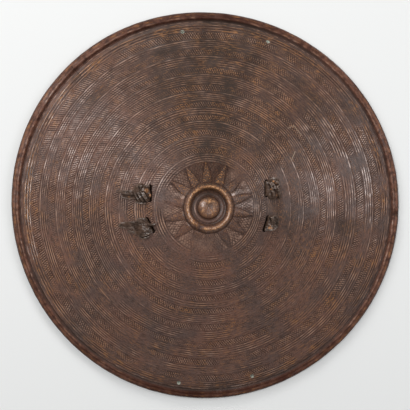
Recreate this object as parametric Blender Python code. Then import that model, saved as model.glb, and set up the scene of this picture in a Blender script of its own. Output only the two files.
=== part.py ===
"""Round hide shield: a low cone of thick hide with tooled bands, a boss and two grip straps.

Units are metres and +Z is up. The shield lies boss up on its rolled rim, and the origin is
the middle of the ground that it covers. +Y is the side that is worn uppermost.
"""

import math

import bmesh
import bpy
from mathutils import Matrix, Vector

# The cone of hide
RIM_RADIUS = 0.330
RIM_WIDTH = 0.0155
FIELD_RADIUS = RIM_RADIUS - RIM_WIDTH
HIDE_THICKNESS = 0.007
FIELD_HEIGHT = 0.0095
CONE_RISE = 0.122
CONE_FULLNESS = 0.10
TURN_STEPS = 64

# How far the worked hide is out of round
OVAL_SWELL = 0.0016
OVAL_DIRECTION = math.radians(146)
LOBE_SWELL = 0.0013
LOBE_DIRECTION = math.radians(137)
ROUND_RADIUS = 0.150

# The rolled rim
CREST_INSET = 0.0098
CREST_RISE = 0.0038
RIM_GROOVE_DEPTH = 0.0020
RIM_SHOULDER_INSET = 0.0045
RIM_SHOULDER_DROP = 0.0012
RIM_EDGE_HEIGHT = 0.0045
RIM_EDGE_ROUND = 0.0016
REST_WIDTH = 0.0100

# Three raised lines beside the rim
LINE_COUNT = 3
LINE_PITCH = 0.0042
LINE_RISE = 0.0008
LINE_MARGIN = 0.0048
OUTER_LINE_RADIUS = FIELD_RADIUS - LINE_MARGIN

# The boss: a ring, a sunk floor with a low ridge, and a knob
RING_RADIUS = 0.0350
RING_WIDTH = 0.0084
RING_RISE = 0.0068
RING_ROUND = 0.0017
RING_FOOT = 0.0030
RECESS_DEPTH = 0.0080
RECESS_WALL = 0.0016
FLOOR_RIDGE_RADIUS = 0.0228
FLOOR_RIDGE_RISE = 0.0010
KNOB_RADIUS = 0.0175
KNOB_RISE = 0.0090
KNOB_ROUND = 0.0022
KNOB_SHOULDER = 0.0045
DIMPLE_RADIUS = 0.0030
DIMPLE_DEPTH = 0.0010
HOLLOW_RADIUS = 0.0300
HOLLOW_LIP = 0.0160
BACK_STEPS = 3

# The sun of petals around the boss
PETAL_COUNT = 14
PETAL_TURN = math.radians(350.5)
PETAL_TIP_RADIUS = 0.0735
PETAL_EDGE_RISE = 0.0015
PETAL_SPINE_RISE = 0.0022
PETAL_SPACING = 0.0012
PETAL_ROOT = 0.0020

# Tooled bands: a hatched strip, a raised line on its inner side, then a strip of fine lines
BAND_PAIRS = 8
BAND_MARGIN = 0.0023
BAND_NARROWING = 0.0006
HATCH_WIDTH = 0.0125
RIDGE_WIDTH = 0.0026
RIDGE_RISE = 0.0010
BAND_OUTER_RADIUS = OUTER_LINE_RADIUS - LINE_PITCH * (LINE_COUNT - 1) - BAND_MARGIN
BAND_INNER_RADIUS = PETAL_TIP_RADIUS + PETAL_SPACING
BAND_WIDENING = BAND_NARROWING * BAND_PAIRS * (BAND_PAIRS - 1) / 2
BAND_PITCH = (BAND_OUTER_RADIUS - BAND_INNER_RADIUS + BAND_WIDENING) / BAND_PAIRS

# Holes pierced close to the rim, each as (direction in degrees, distance inside the field's edge)
RIM_HOLE_RADIUS = 0.0034
RIM_HOLES = {
    "top_left": (97.7, 0.0168),
    "top_right": (69.3, 0.0151),
    "bottom_left": (261.3, 0.0089),
    "bottom_right": (285.2, 0.0130),
}
HOLE_SIDES = 8

# Straps and the slots that they come through
STRAP_WIDTH = 0.0260
STRAP_THICKNESS = 0.0040
STRAP_CHAMFER = 0.0012
SLOT_REACH = 0.0960
SLOT_SIDE_CLEARANCE = 0.0013
SLOT_END_CLEARANCE = 0.0015
UPPER_LEFT_Y = 0.0235
UPPER_RIGHT_Y = 0.0310
LOWER_LEFT_Y = -0.0290
LOWER_RIGHT_Y = -0.0270
LOWER_LEFT_LEAN = math.radians(28)
LOWER_RIGHT_LEAN = math.radians(-17)
STRAP_LIFT = 0.0024

# The grip that the two straps make behind the boss
HAND_GAP = 0.0520
GRIP_WIDTH = 0.0160
GRIP_THICKNESS = 0.0080
GRIP_LENGTH = 0.0800
GRIP_SPLIT = 0.0012
GRIP_SPREAD = 0.0025

# Knots on the front
KNOT_HALF_WIDTH = 0.0150
KNOT_HALF_HEIGHT = 0.0060
WRAP_WIDTH = 0.0120
WRAP_THICKNESS = 0.0042
WRAP_TILT = math.radians(17)
NECK_WIDTH = 0.0265
NECK_THICKNESS = 0.0088
TAIL_WIDTH = 0.0160
TAIL_END_WIDTH = 0.0130
UPPER_TAIL_REACH = 0.0540
LOWER_TAIL_REACH = 0.0510
LOWER_TAIL_WIDTH = 0.0125
SIDE_TAIL_WIDTH = 0.0070
STUB_REACH = 0.0150

WRAP_SIDES = 12
SPAN_STEPS = 2
CUT_MARGIN = 0.0100
FULL_TURN = 2 * math.pi


def clear_objects():
    """Start from an empty scene."""
    for old in list(bpy.data.objects):
        bpy.data.objects.remove(old, do_unlink=True)


def leather(name, colour, roughness):
    """A plain leather finish."""
    material = bpy.data.materials.new(name)
    material.use_nodes = True
    shader = material.node_tree.nodes["Principled BSDF"]
    shader.inputs["Base Color"].default_value = (*colour, 1.0)
    shader.inputs["Roughness"].default_value = roughness
    shader.inputs["Metallic"].default_value = 0.0
    return material


def add_object(name, mesh, material=None):
    """Put a mesh in the scene under its own name."""
    thing = bpy.data.objects.new(name, mesh)
    bpy.context.scene.collection.objects.link(thing)
    if material:
        mesh.materials.append(material)
    return thing


def hide_helper(thing):
    """Keep a cutter or an added form out of the finished model."""
    thing.hide_render = True
    thing.display_type = "WIRE"


def boolean(target, other, operation):
    """Cut another form out of the target, or join it on."""
    modifier = target.modifiers.new(other.name, "BOOLEAN")
    modifier.operation = operation
    modifier.object = other
    modifier.solver = "EXACT"
    hide_helper(other)


def cone_height(radius):
    """Height of the smooth front of the hide at a distance from the axis."""
    share = (FIELD_RADIUS - radius) / FIELD_RADIUS
    return FIELD_HEIGHT + CONE_RISE * (share + CONE_FULLNESS * share * (1 - share))


def cone_slope(radius):
    """Rise of the front for each metre towards the rim, which is negative."""
    share = (FIELD_RADIUS - radius) / FIELD_RADIUS
    return -CONE_RISE * (1 + CONE_FULLNESS * (1 - 2 * share)) / FIELD_RADIUS


def back_height(radius):
    """Height of the back of the hide, a full thickness behind the front."""
    return cone_height(radius) - HIDE_THICKNESS * math.hypot(1, cone_slope(radius))


def ring_crest_height():
    """Top of the ring round the boss."""
    return cone_height(RING_RADIUS + RING_WIDTH / 2) + RING_RISE


def recess_height():
    """Floor between the ring and the knob."""
    return ring_crest_height() - RECESS_DEPTH


def boss_profile():
    """Knob, sunk floor and ring, from the axis outwards."""
    floor = recess_height()
    top = floor + KNOB_RISE
    crest = ring_crest_height()
    inner = RING_RADIUS - RING_WIDTH / 2
    outer = RING_RADIUS + RING_WIDTH / 2
    return [
        (0.0, top - DIMPLE_DEPTH),
        (DIMPLE_RADIUS, top),
        (KNOB_RADIUS - KNOB_SHOULDER, top - KNOB_ROUND / 4),
        (KNOB_RADIUS, top - KNOB_ROUND),
        (KNOB_RADIUS + RECESS_WALL / 2, floor),
        (FLOOR_RIDGE_RADIUS, floor + FLOOR_RIDGE_RISE),
        (inner - RECESS_WALL, floor),
        (inner, crest - RING_ROUND),
        (RING_RADIUS, crest),
        (outer, crest - RING_ROUND),
        (outer + RING_FOOT, cone_height(outer + RING_FOOT)),
    ]


def band_outside(pair):
    """Outer radius of one pair of strips, counted from the rim; each pair is a little narrower."""
    return BAND_OUTER_RADIUS - BAND_PITCH * pair + BAND_NARROWING * pair * (pair - 1) / 2


def band_profile():
    """The raised lines between the strips, from the petals out to the margin."""
    edges = [band_outside(pair) for pair in range(BAND_PAIRS, -1, -1)]
    points = [(edges[0], cone_height(edges[0]))]
    for outside in edges[1:]:
        ridge = outside - HATCH_WIDTH
        for radius, rise in ((ridge - RIDGE_WIDTH, 0), (ridge - RIDGE_WIDTH / 2, RIDGE_RISE),
                             (ridge, 0)):
            points.append((radius, cone_height(radius) + rise))
    points.append((edges[-1], cone_height(edges[-1])))
    return points


def line_profile():
    """The raised lines of the margin, each with a low place after it."""
    points = []
    for line in range(LINE_COUNT):
        crest = OUTER_LINE_RADIUS - LINE_PITCH * (LINE_COUNT - 1 - line)
        low = crest + LINE_PITCH / 2
        points.append((crest, cone_height(crest) + LINE_RISE))
        points.append((low, cone_height(low)))
    return points


def rim_profile():
    """Groove, rolled edge and the flat underside that the shield rests on."""
    crest_height = FIELD_HEIGHT + CREST_RISE
    groove = (FIELD_RADIUS + RIM_RADIUS - CREST_INSET) / 2
    rest_outside = RIM_RADIUS - RIM_EDGE_ROUND
    return [
        (FIELD_RADIUS, FIELD_HEIGHT - RIM_GROOVE_DEPTH),
        (groove, FIELD_HEIGHT - RIM_GROOVE_DEPTH / 2),
        (RIM_RADIUS - CREST_INSET, crest_height),
        (RIM_RADIUS - RIM_SHOULDER_INSET, crest_height - RIM_SHOULDER_DROP),
        (RIM_RADIUS - RIM_EDGE_ROUND / 2, (crest_height + RIM_EDGE_HEIGHT) / 2),
        (RIM_RADIUS, RIM_EDGE_HEIGHT),
        (rest_outside, 0.0),
        (rest_outside - REST_WIDTH, 0.0),
    ]


def back_profile():
    """The plain back, from the rest inwards to the hollow behind the boss."""
    outside = RIM_RADIUS - RIM_EDGE_ROUND - REST_WIDTH - RIM_SHOULDER_INSET
    lip = HOLLOW_RADIUS + HOLLOW_LIP
    radii = [outside + (lip - outside) * step / BACK_STEPS for step in range(BACK_STEPS + 1)]
    hollow = recess_height() - HIDE_THICKNESS
    points = [(radius, back_height(radius)) for radius in radii]
    return points + [(HOLLOW_RADIUS, hollow), (0.0, hollow)]


def shell_profile():
    """Half section of the hide, out along the front and home along the back."""
    return boss_profile() + band_profile() + line_profile() + rim_profile() + back_profile()


def swell(angle):
    """How far the edge stands out of a true circle in one direction."""
    oval = OVAL_SWELL * math.cos(2 * (angle - OVAL_DIRECTION))
    return oval + LOBE_SWELL * math.cos(3 * (angle - LOBE_DIRECTION))


def edge_middle():
    """Middle of the ground that the swollen edge covers."""
    corners = []
    for step in range(TURN_STEPS):
        angle = PETAL_TURN + FULL_TURN * (step + 0.5) / TURN_STEPS
        reach = RIM_RADIUS + swell(angle)
        corners.append((reach * math.cos(angle), reach * math.sin(angle)))
    spans = [[corner[axis] for corner in corners] for axis in (0, 1)]
    return [(min(span) + max(span)) / 2 for span in spans]


def worked(x, y, middle):
    """Move a point of the true cone to where the worked hide has it."""
    radius = math.hypot(x, y)
    share = max(0.0, (radius - ROUND_RADIUS) / (RIM_RADIUS - ROUND_RADIUS)) ** 2
    if share == 0.0:
        return x, y
    stretch = 1 + swell(math.atan2(y, x)) * share / radius
    return x * stretch - middle[0] * share, y * stretch - middle[1] * share


def turned_mesh(name, profile):
    """Spin a half section into a closed body."""
    bm = bmesh.new()
    start = Matrix.Rotation(PETAL_TURN + math.pi / TURN_STEPS, 4, "Z")
    verts = [bm.verts.new(start @ Vector((radius, 0.0, height))) for radius, height in profile]
    edges = [bm.edges.new(pair) for pair in zip(verts, verts[1:])]
    bmesh.ops.spin(bm, geom=verts + edges, cent=(0, 0, 0), axis=(0, 0, 1),
                   angle=FULL_TURN, steps=TURN_STEPS, use_merge=True)
    bmesh.ops.remove_doubles(bm, verts=bm.verts, dist=1e-6)
    bmesh.ops.recalc_face_normals(bm, faces=bm.faces)
    return finish_mesh(name, bm)


def finish_mesh(name, bm):
    """Write a bmesh to a mesh with smooth faces and sharp corners."""
    mesh = bpy.data.meshes.new(name)
    bm.to_mesh(mesh)
    bm.free()
    mesh.shade_smooth()
    mesh.set_sharp_from_angle(angle=math.radians(35))
    return mesh


def petal_mesh(name):
    """All petals as low three-cornered blocks with a spine, sunk into the hide."""
    bm = bmesh.new()
    foot = RING_RADIUS + RING_WIDTH / 2 + RING_FOOT / 2
    half_angle = math.pi / PETAL_COUNT - PETAL_SPACING / 2 / foot
    for petal in range(PETAL_COUNT):
        turn = PETAL_TURN + FULL_TURN * petal / PETAL_COUNT
        corners = [
            (foot, turn - half_angle, PETAL_EDGE_RISE),
            (foot, turn, PETAL_SPINE_RISE),
            (foot, turn + half_angle, PETAL_EDGE_RISE),
            (PETAL_TIP_RADIUS, turn, PETAL_EDGE_RISE),
        ]
        tops = []
        roots = []
        for radius, angle, rise in corners:
            x, y = radius * math.cos(angle), radius * math.sin(angle)
            tops.append(bm.verts.new((x, y, cone_height(radius) + rise)))
            roots.append(bm.verts.new((x, y, cone_height(radius) - PETAL_ROOT)))
        bm.faces.new((tops[0], tops[3], tops[1]))
        bm.faces.new((tops[1], tops[3], tops[2]))
        bm.faces.new((roots[0], roots[1], roots[3]))
        bm.faces.new((roots[1], roots[2], roots[3]))
        ring = [0, 3, 2, 1]
        for here, after in zip(ring, ring[1:] + ring[:1]):
            bm.faces.new((tops[here], roots[here], roots[after], tops[after]))
    bmesh.ops.recalc_face_normals(bm, faces=bm.faces)
    return finish_mesh(name, bm)


def hole_cutter(middle):
    """Drills for the small holes beside the rim."""
    bm = bmesh.new()
    for direction, inset in RIM_HOLES.values():
        radius = FIELD_RADIUS - inset
        angle = math.radians(direction)
        x, y = worked(radius * math.cos(angle), radius * math.sin(angle), middle)
        place = Matrix.Translation((x, y, cone_height(radius)))
        bmesh.ops.create_cone(bm, cap_ends=True, segments=HOLE_SIDES, radius1=RIM_HOLE_RADIUS,
                              radius2=RIM_HOLE_RADIUS, depth=4 * HIDE_THICKNESS, matrix=place)
    return add_object("rim_hole_drills", finish_mesh("rim_hole_drills", bm))


def slot_cutter(name, x, y, lean):
    """An upright block that cuts one slot, with room around the strap."""
    width = STRAP_THICKNESS + 2 * SLOT_SIDE_CLEARANCE
    length = STRAP_WIDTH + 2 * SLOT_END_CLEARANCE
    height = 2 * (HIDE_THICKNESS + CUT_MARGIN)
    size = Matrix.Diagonal((width, length, height, 1.0))
    place = Matrix.Translation((x, y, cone_height(math.hypot(x, y))))
    bm = bmesh.new()
    bmesh.ops.create_cube(bm, size=1.0, matrix=place @ Matrix.Rotation(lean, 4, "Z") @ size)
    return add_object(name, finish_mesh(name, bm))


def smooth_stations(stations):
    """Curved run of stations through the given ones."""
    smooth = []
    last = len(stations) - 1
    for index in range(last):
        before = stations[max(index - 1, 0)]
        here = stations[index]
        after = stations[index + 1]
        beyond = stations[min(index + 2, last)]
        for step in range(SPAN_STEPS):
            t = step / SPAN_STEPS
            smooth.append([catmull_rom(*four, t) for four in zip(before, here, after, beyond)])
    smooth.append(list(stations[last]))
    return smooth


def catmull_rom(before, here, after, beyond, t):
    """Value at t between here and after, on a smooth curve."""
    return 0.5 * (2 * here + (after - before) * t
                  + (2 * before - 5 * here + 4 * after - beyond) * t * t
                  + (3 * here - before - 3 * after + beyond) * t * t * t)


def strap_section(centre, tangent, across, width, thickness):
    """Six corners of a strap with chamfered edges."""
    across = (across - tangent * across.dot(tangent)).normalized()
    up = tangent.cross(across)
    flat = width / 2 - STRAP_CHAMFER
    half = thickness / 2
    corners = [(width / 2, 0), (flat, half), (-flat, half),
               (-width / 2, 0), (-flat, -half), (flat, -half)]
    return [centre + across * a + up * u for a, u in corners]


def loft(name, sections, closed):
    """Skin a row of sections, joined end to end or capped."""
    bm = bmesh.new()
    rows = [[bm.verts.new(corner) for corner in section] for section in sections]
    pairs = list(zip(rows, rows[1:]))
    if closed:
        pairs.append((rows[-1], rows[0]))
    for row, after in pairs:
        for index in range(len(row)):
            follow = (index + 1) % len(row)
            bm.faces.new((row[index], row[follow], after[follow], after[index]))
    if not closed:
        bm.faces.new(list(reversed(rows[0])))
        bm.faces.new(rows[-1])
    bmesh.ops.recalc_face_normals(bm, faces=bm.faces)
    return finish_mesh(name, bm)


def strap_mesh(name, stations):
    """Loft a strap through stations of (centre, across, width, thickness)."""
    sections = []
    count = len(stations)
    for index, (centre, across, width, thickness) in enumerate(stations):
        ahead = stations[min(index + 1, count - 1)][0]
        behind = stations[max(index - 1, 0)][0]
        tangent = (ahead - behind).normalized()
        sections.append(strap_section(centre, tangent, across, width, thickness))
    return loft(name, sections, closed=False)


class SlotFrame:
    """Where one strap end comes through the hide, with directions on its front."""

    def __init__(self, side, y, lean):
        self.side = side
        self.x = side * SLOT_REACH
        self.y = y
        self.lean = lean
        radius = math.hypot(self.x, y)
        slope = cone_slope(radius)
        self.normal = Vector((-slope * self.x / radius, -slope * y / radius, 1)).normalized()
        along = Vector((0, 1, 0))
        self.along = (along - self.normal * along.dot(self.normal)).normalized()
        self.outward = self.along.cross(self.normal) * side
        self.origin = Vector((self.x, y, cone_height(radius)))
        self.back = back_height(radius)

    def point(self, out, along, lift):
        """A point measured from the slot, on the front of the hide."""
        return self.origin + self.outward * out + self.along * along + self.normal * lift

    def across(self, lean):
        """Direction of a strap's width that leans from the hide's Y."""
        return Matrix.Rotation(lean, 3, self.normal) @ self.along

    def station(self, out, along, lift, lean, width, thickness):
        """One station of a strap on the front."""
        return (self.point(out, along, lift), self.across(lean), width, thickness)

    def slot_stations(self):
        """The straight run through the hide, from the front to the back."""
        across = Matrix.Rotation(self.lean, 3, "Z") @ Vector((0, 1, 0))
        runs = []
        for height in (self.origin.z + STRAP_LIFT / 2, (self.origin.z + self.back) / 2,
                       self.back - STRAP_THICKNESS / 2):
            runs.append((Vector((self.x, self.y, height)), across, STRAP_WIDTH, STRAP_THICKNESS))
        return runs


def knot_height():
    """Height of a knot's middle above the hide."""
    return STRAP_LIFT + WRAP_THICKNESS / 2 + KNOT_HALF_HEIGHT


def knotted_end(frame, tail_reach):
    """A strap that rises into its knot and may leave it as a tail."""
    middle = knot_height()
    stations = [
        frame.station(0.0035, 0, middle * 0.72, frame.lean, STRAP_WIDTH, STRAP_THICKNESS),
        frame.station(0.0100, 0, middle, 0, NECK_WIDTH, NECK_THICKNESS),
        frame.station(0.0210, 0, middle * 0.95, 0, NECK_WIDTH, NECK_THICKNESS),
    ]
    if tail_reach:
        rest = STRAP_LIFT + STRAP_THICKNESS / 2
        stations.append(frame.station(0.0310, 0, rest * 1.3, 0, TAIL_WIDTH, STRAP_THICKNESS))
        stations.append(frame.station(tail_reach * 0.8, 0, rest, 0, TAIL_WIDTH, STRAP_THICKNESS))
        stations.append(frame.station(tail_reach, 0, rest, 0, TAIL_END_WIDTH, STRAP_THICKNESS / 2))
    return stations


def flat_tail_end(frame):
    """A strap folded flat on the hide that narrows to a tail."""
    rest = STRAP_LIFT + STRAP_THICKNESS / 2
    reach = LOWER_TAIL_REACH
    return [
        frame.station(0.0040, 0, rest * 1.2, frame.lean, STRAP_WIDTH, STRAP_THICKNESS),
        frame.station(0.0120, -0.0020, rest * 1.4, frame.lean / 2, STRAP_WIDTH, STRAP_THICKNESS),
        frame.station(0.0210, -0.0020, rest * 1.2, 0, STRAP_WIDTH, STRAP_THICKNESS),
        frame.station(0.0300, 0, rest, 0, LOWER_TAIL_WIDTH, STRAP_THICKNESS),
        frame.station(reach * 0.8, 0, rest, 0, LOWER_TAIL_WIDTH, STRAP_THICKNESS),
        frame.station(reach, 0, rest, 0, LOWER_TAIL_WIDTH * 0.7, STRAP_THICKNESS / 2),
    ]


def stub_end(frame):
    """A strap torn off soon after it folds out of its slot."""
    rest = STRAP_LIFT + STRAP_THICKNESS / 2
    return [
        frame.station(0.0040, 0, rest * 1.1, frame.lean, STRAP_WIDTH, STRAP_THICKNESS),
        frame.station(STUB_REACH * 0.6, 0.0015, rest * 1.2, frame.lean, STRAP_WIDTH * 0.9,
                      STRAP_THICKNESS),
        frame.station(STUB_REACH, 0.0030, rest, frame.lean, STRAP_WIDTH * 0.6, STRAP_THICKNESS),
    ]


def grip_stations(left, right, side):
    """The run behind the hide, drawn together in the middle to make half of the grip."""
    hollow = recess_height() - HIDE_THICKNESS
    grip = hollow - HAND_GAP - GRIP_THICKNESS / 2
    grip_y = side * (GRIP_WIDTH + GRIP_SPLIT) / 2
    spread_y = grip_y + side * GRIP_SPREAD
    across = Vector((0, 1, 0))
    runs = []
    for frame in (left, right):
        half = frame.side * GRIP_LENGTH / 2
        shoulder = Vector(((frame.x + half) / 2, (frame.y + spread_y) / 2, (frame.back + grip) / 2))
        bend = Vector((frame.x - frame.side * STRAP_THICKNESS, frame.y,
                       frame.back - 3 * STRAP_THICKNESS))
        runs.append([
            (bend, across, STRAP_WIDTH, STRAP_THICKNESS),
            (shoulder, across, (STRAP_WIDTH + GRIP_WIDTH) / 2, (STRAP_THICKNESS + GRIP_THICKNESS) / 2),
            (Vector((half, spread_y, grip)), across, GRIP_WIDTH, GRIP_THICKNESS),
        ])
    centre = (Vector((0, grip_y, grip)), across, GRIP_WIDTH, GRIP_THICKNESS)
    return runs[0] + [centre] + list(reversed(runs[1]))


def wrap_mesh(name, frame, out, tilt, half_width):
    """One turn of strap round the neck of a knot."""
    middle = knot_height()
    across = Matrix.Rotation(tilt, 3, frame.normal) @ frame.outward
    sideways = Matrix.Rotation(tilt, 3, frame.normal) @ frame.along
    centre = frame.point(out, 0, middle)
    sections = []
    for step in range(WRAP_SIDES):
        angle = FULL_TURN * step / WRAP_SIDES
        offset = sideways * half_width * math.cos(angle)
        offset += frame.normal * KNOT_HALF_HEIGHT * math.sin(angle)
        tangent = sideways * -half_width * math.sin(angle)
        tangent += frame.normal * KNOT_HALF_HEIGHT * math.cos(angle)
        sections.append(strap_section(centre + offset, tangent.normalized(), across,
                                      WRAP_WIDTH, WRAP_THICKNESS))
    return loft(name, sections, closed=True)


def side_tail_mesh(name, frame):
    """The second, shorter tail beside the flat one."""
    rest = STRAP_LIFT + STRAP_THICKNESS / 2
    stations = [
        frame.station(0.0180, -0.0080, rest, 0, SIDE_TAIL_WIDTH, STRAP_THICKNESS),
        frame.station(0.0290, -0.0100, rest, 0, SIDE_TAIL_WIDTH, STRAP_THICKNESS * 0.8),
        frame.station(0.0400, -0.0110, rest, 0, SIDE_TAIL_WIDTH * 0.6, STRAP_THICKNESS * 0.6),
    ]
    return strap_mesh(name, stations)


def strap_body(name, left, right, left_end, right_end, side, material):
    """A whole strap: left end, slot, grip, slot, right end."""
    stations = list(reversed(left_end)) + left.slot_stations()
    stations += grip_stations(left, right, side)
    stations += list(reversed(right.slot_stations())) + right_end
    return add_object(name, strap_mesh(name, smooth_stations(stations)), material)


def build_shell(frames, material):
    """The hide itself, with petals, holes and slots."""
    middle = edge_middle()
    mesh = turned_mesh("hide_shield", shell_profile())
    for vertex in mesh.vertices:
        vertex.co.x, vertex.co.y = worked(vertex.co.x, vertex.co.y, middle)
    shell = add_object("hide_shield", mesh, material)
    boolean(shell, add_object("petals", petal_mesh("petals")), "UNION")
    boolean(shell, hole_cutter(middle), "DIFFERENCE")
    for name, frame in frames.items():
        cutter = slot_cutter(name + "_slot", frame.x, frame.y, frame.lean)
        boolean(shell, cutter, "DIFFERENCE")
    return shell


def build_upper_strap(left, right, material):
    """The strap that is knotted at both ends."""
    strap = strap_body("upper_grip_strap", left, right, knotted_end(left, UPPER_TAIL_REACH),
                       knotted_end(right, 0), 1, material)
    for place, frame in (("left", left), ("right", right)):
        for turn, out, half_width in (("inner", 0.0085, KNOT_HALF_WIDTH),
                                      ("outer", 0.0185, KNOT_HALF_WIDTH * 0.9)):
            tilt = WRAP_TILT if turn == "inner" else -WRAP_TILT
            name = f"{place}_{turn}_wrap"
            boolean(strap, add_object(name, wrap_mesh(name, frame, out, tilt, half_width)), "UNION")
    return strap


def build_lower_strap(left, right, material):
    """The strap that lies flat at one end and is torn short at the other."""
    strap = strap_body("lower_grip_strap", left, right, flat_tail_end(left), stub_end(right),
                       -1, material)
    boolean(strap, add_object("side_tail", side_tail_mesh("side_tail", left)), "UNION")
    return strap


def main():
    clear_objects()
    hide = leather("tooled_hide", (0.105, 0.062, 0.046), 0.55)
    strap = leather("dark_strap", (0.035, 0.025, 0.021), 0.50)
    frames = {
        "upper_left": SlotFrame(-1, UPPER_LEFT_Y, 0.0),
        "upper_right": SlotFrame(1, UPPER_RIGHT_Y, 0.0),
        "lower_left": SlotFrame(-1, LOWER_LEFT_Y, LOWER_LEFT_LEAN),
        "lower_right": SlotFrame(1, LOWER_RIGHT_Y, LOWER_RIGHT_LEAN),
    }
    build_shell(frames, hide)
    build_upper_strap(frames["upper_left"], frames["upper_right"], strap)
    build_lower_strap(frames["lower_left"], frames["lower_right"], strap)


main()
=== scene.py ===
# %% [markdown]
# # A round shield of tooled hide
#
# The real shield is a single disc of thick hide. It was soaked, pressed into a low cone and
# tooled with a blunt iron while it was damp. Two straps of darker hide come through slots near
# the middle, where they are knotted, and behind the boss they make the grip.
#
# This file dresses the imported model. The imported solids give the main sizes, which are repeated
# here. The strokes of the tool and the folds of the knots are finer than in the solids, so their
# own lines are given one by one, and a band can lie up to 9 mm from its place in the solid.

# %% Load the imported model
import math

import bmesh
import bpy
import numpy as np
from mathutils import Matrix, Vector, noise


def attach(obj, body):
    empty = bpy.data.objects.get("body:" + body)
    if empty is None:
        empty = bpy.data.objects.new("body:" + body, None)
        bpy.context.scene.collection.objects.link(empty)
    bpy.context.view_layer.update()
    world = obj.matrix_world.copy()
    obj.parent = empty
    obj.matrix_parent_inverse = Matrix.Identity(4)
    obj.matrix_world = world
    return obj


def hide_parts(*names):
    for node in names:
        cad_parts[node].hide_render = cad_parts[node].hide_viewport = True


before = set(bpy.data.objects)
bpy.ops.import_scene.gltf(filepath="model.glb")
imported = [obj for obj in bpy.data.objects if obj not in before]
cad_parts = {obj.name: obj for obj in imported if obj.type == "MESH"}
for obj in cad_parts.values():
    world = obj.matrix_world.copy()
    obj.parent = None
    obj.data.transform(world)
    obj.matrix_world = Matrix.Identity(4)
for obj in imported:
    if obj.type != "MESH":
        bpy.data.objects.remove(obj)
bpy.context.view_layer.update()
print("packed nodes:", sorted(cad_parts))

# %% [markdown]
# ## Camera
#
# The shield lies boss up and the camera looks down on it from 2.6 metres, far enough for the rim
# to look round. It stands a little to the upper left of the axis, so the boss, which is nearer
# to the lens, shifts a few pixels to the lower right of the rim's middle.

# %% Place the camera
CAMERA_PLACE = Vector((-0.104, 0.073, 2.600))
CAMERA_AIM = Vector((-0.0019, 0.0016, 0.0095))
MM_PER_PIXEL = 1.704
PICTURE_PIXELS = 410


def look_down(place, aim, up=Vector((0, 1, 0))):
    """Placement that looks from one point at another, with one direction kept up."""
    ahead = (aim - place).normalized()
    right = ahead.cross(up).normalized()
    above = right.cross(ahead)
    turn = Matrix((right, above, -ahead)).transposed().to_4x4()
    return Matrix.Translation(place) @ turn


lens = bpy.data.cameras.new("studio_camera")
camera = bpy.data.objects.new("studio_camera", lens)
bpy.context.scene.collection.objects.link(camera)
camera.matrix_world = look_down(CAMERA_PLACE, CAMERA_AIM)
half_view = MM_PER_PIXEL * PICTURE_PIXELS / 2000
lens.angle = 2 * math.atan(half_view / (CAMERA_AIM - CAMERA_PLACE).length)
bpy.context.scene.camera = camera
print("field of view in degrees:", round(math.degrees(lens.angle), 2))

# %% [markdown]
# ## Floor and light
#
# The floor is a plain, almost white sweep. The light is soft: a wide light above the upper edge
# lays a faint shadow below the lower one, and two side panels stand where the slopes of the cone
# mirror them to the camera. They give the left and right of the hide their pale sheen. A fill
# above the camera lights the floor without casting a shadow that shows.

# %% Lay the floor
FLOOR_SIZE = 9.0
FLOOR_DROP = 0.0004

bpy.ops.object.select_all(action="DESELECT")
bpy.ops.mesh.primitive_plane_add(size=FLOOR_SIZE, location=(0, 0, -FLOOR_DROP))
floor = bpy.context.object
floor.name = "pale_floor"
floor_paint = bpy.data.materials.new("pale_floor")
floor_paint.use_nodes = True
floor_shader = floor_paint.node_tree.nodes["Principled BSDF"]
floor_shader.inputs["Base Color"].default_value = (0.79, 0.80, 0.79, 1.0)
floor_shader.inputs["Roughness"].default_value = 0.9
floor_shader.inputs["Specular IOR Level"].default_value = 0.1
floor.data.materials.append(floor_paint)

# %% Hang the lights
LIGHTS = {
    "upper_light": ((-0.35, 2.40, 1.30), (2.2, 1.0), 35.0, (1.0, 0.99, 0.97)),
    "left_panel": ((-1.44, 0.73, 1.45), (0.95, 1.30), 10.5, (0.97, 0.97, 1.0)),
    "right_panel": ((1.64, 0.38, 1.45), (0.95, 1.20), 13.0, (0.97, 0.97, 1.0)),
    "front_fill": ((-0.60, 0.20, 3.00), (1.6, 1.2), 41.0, (1.0, 1.0, 1.0)),
}
LIGHT_AIM = Vector((0, 0, 0.05))
ROOM_GREY = 0.19


def hang_light(name, place, size, power, colour):
    """A soft rectangular light that faces the shield."""
    data = bpy.data.lights.new(name, "AREA")
    data.shape = "RECTANGLE"
    data.size, data.size_y = size
    data.energy = power
    data.color = colour
    lamp = bpy.data.objects.new(name, data)
    bpy.context.scene.collection.objects.link(lamp)
    lamp.matrix_world = look_down(Vector(place), LIGHT_AIM)


for light_name, light_values in LIGHTS.items():
    hang_light(light_name, *light_values)
room = bpy.data.worlds.new("pale_room")
room.use_nodes = True
room.node_tree.nodes["Background"].inputs["Color"].default_value = (0.99, 0.99, 1.0, 1.0)
room.node_tree.nodes["Background"].inputs["Strength"].default_value = ROOM_GREY
bpy.context.scene.world = room
bpy.context.scene.view_settings.view_transform = "Standard"
print("lights:", ", ".join(LIGHTS))

# %% [markdown]
# ## The shape of the hide
#
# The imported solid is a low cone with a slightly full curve, a rolled rim and a ringed boss. The
# same few sizes are repeated here, so that the tooled piece follows it. A press and a maker's
# hands leave a disc a little out of round, and two soft waves round the edge give that.

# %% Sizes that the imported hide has
RIM_RADIUS = 0.3300
RIM_WIDTH = 0.0155
FIELD_RADIUS = RIM_RADIUS - RIM_WIDTH
HIDE_THICKNESS = 0.0070
FIELD_HEIGHT = 0.0095
CONE_RISE = 0.1220
CONE_FULLNESS = 0.10
OVAL_SWELL = 0.0016
OVAL_DIRECTION = math.radians(146)
LOBE_SWELL = 0.0013
LOBE_DIRECTION = math.radians(137)
ROUND_RADIUS = 0.1500
FULL_TURN = 2 * math.pi


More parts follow.
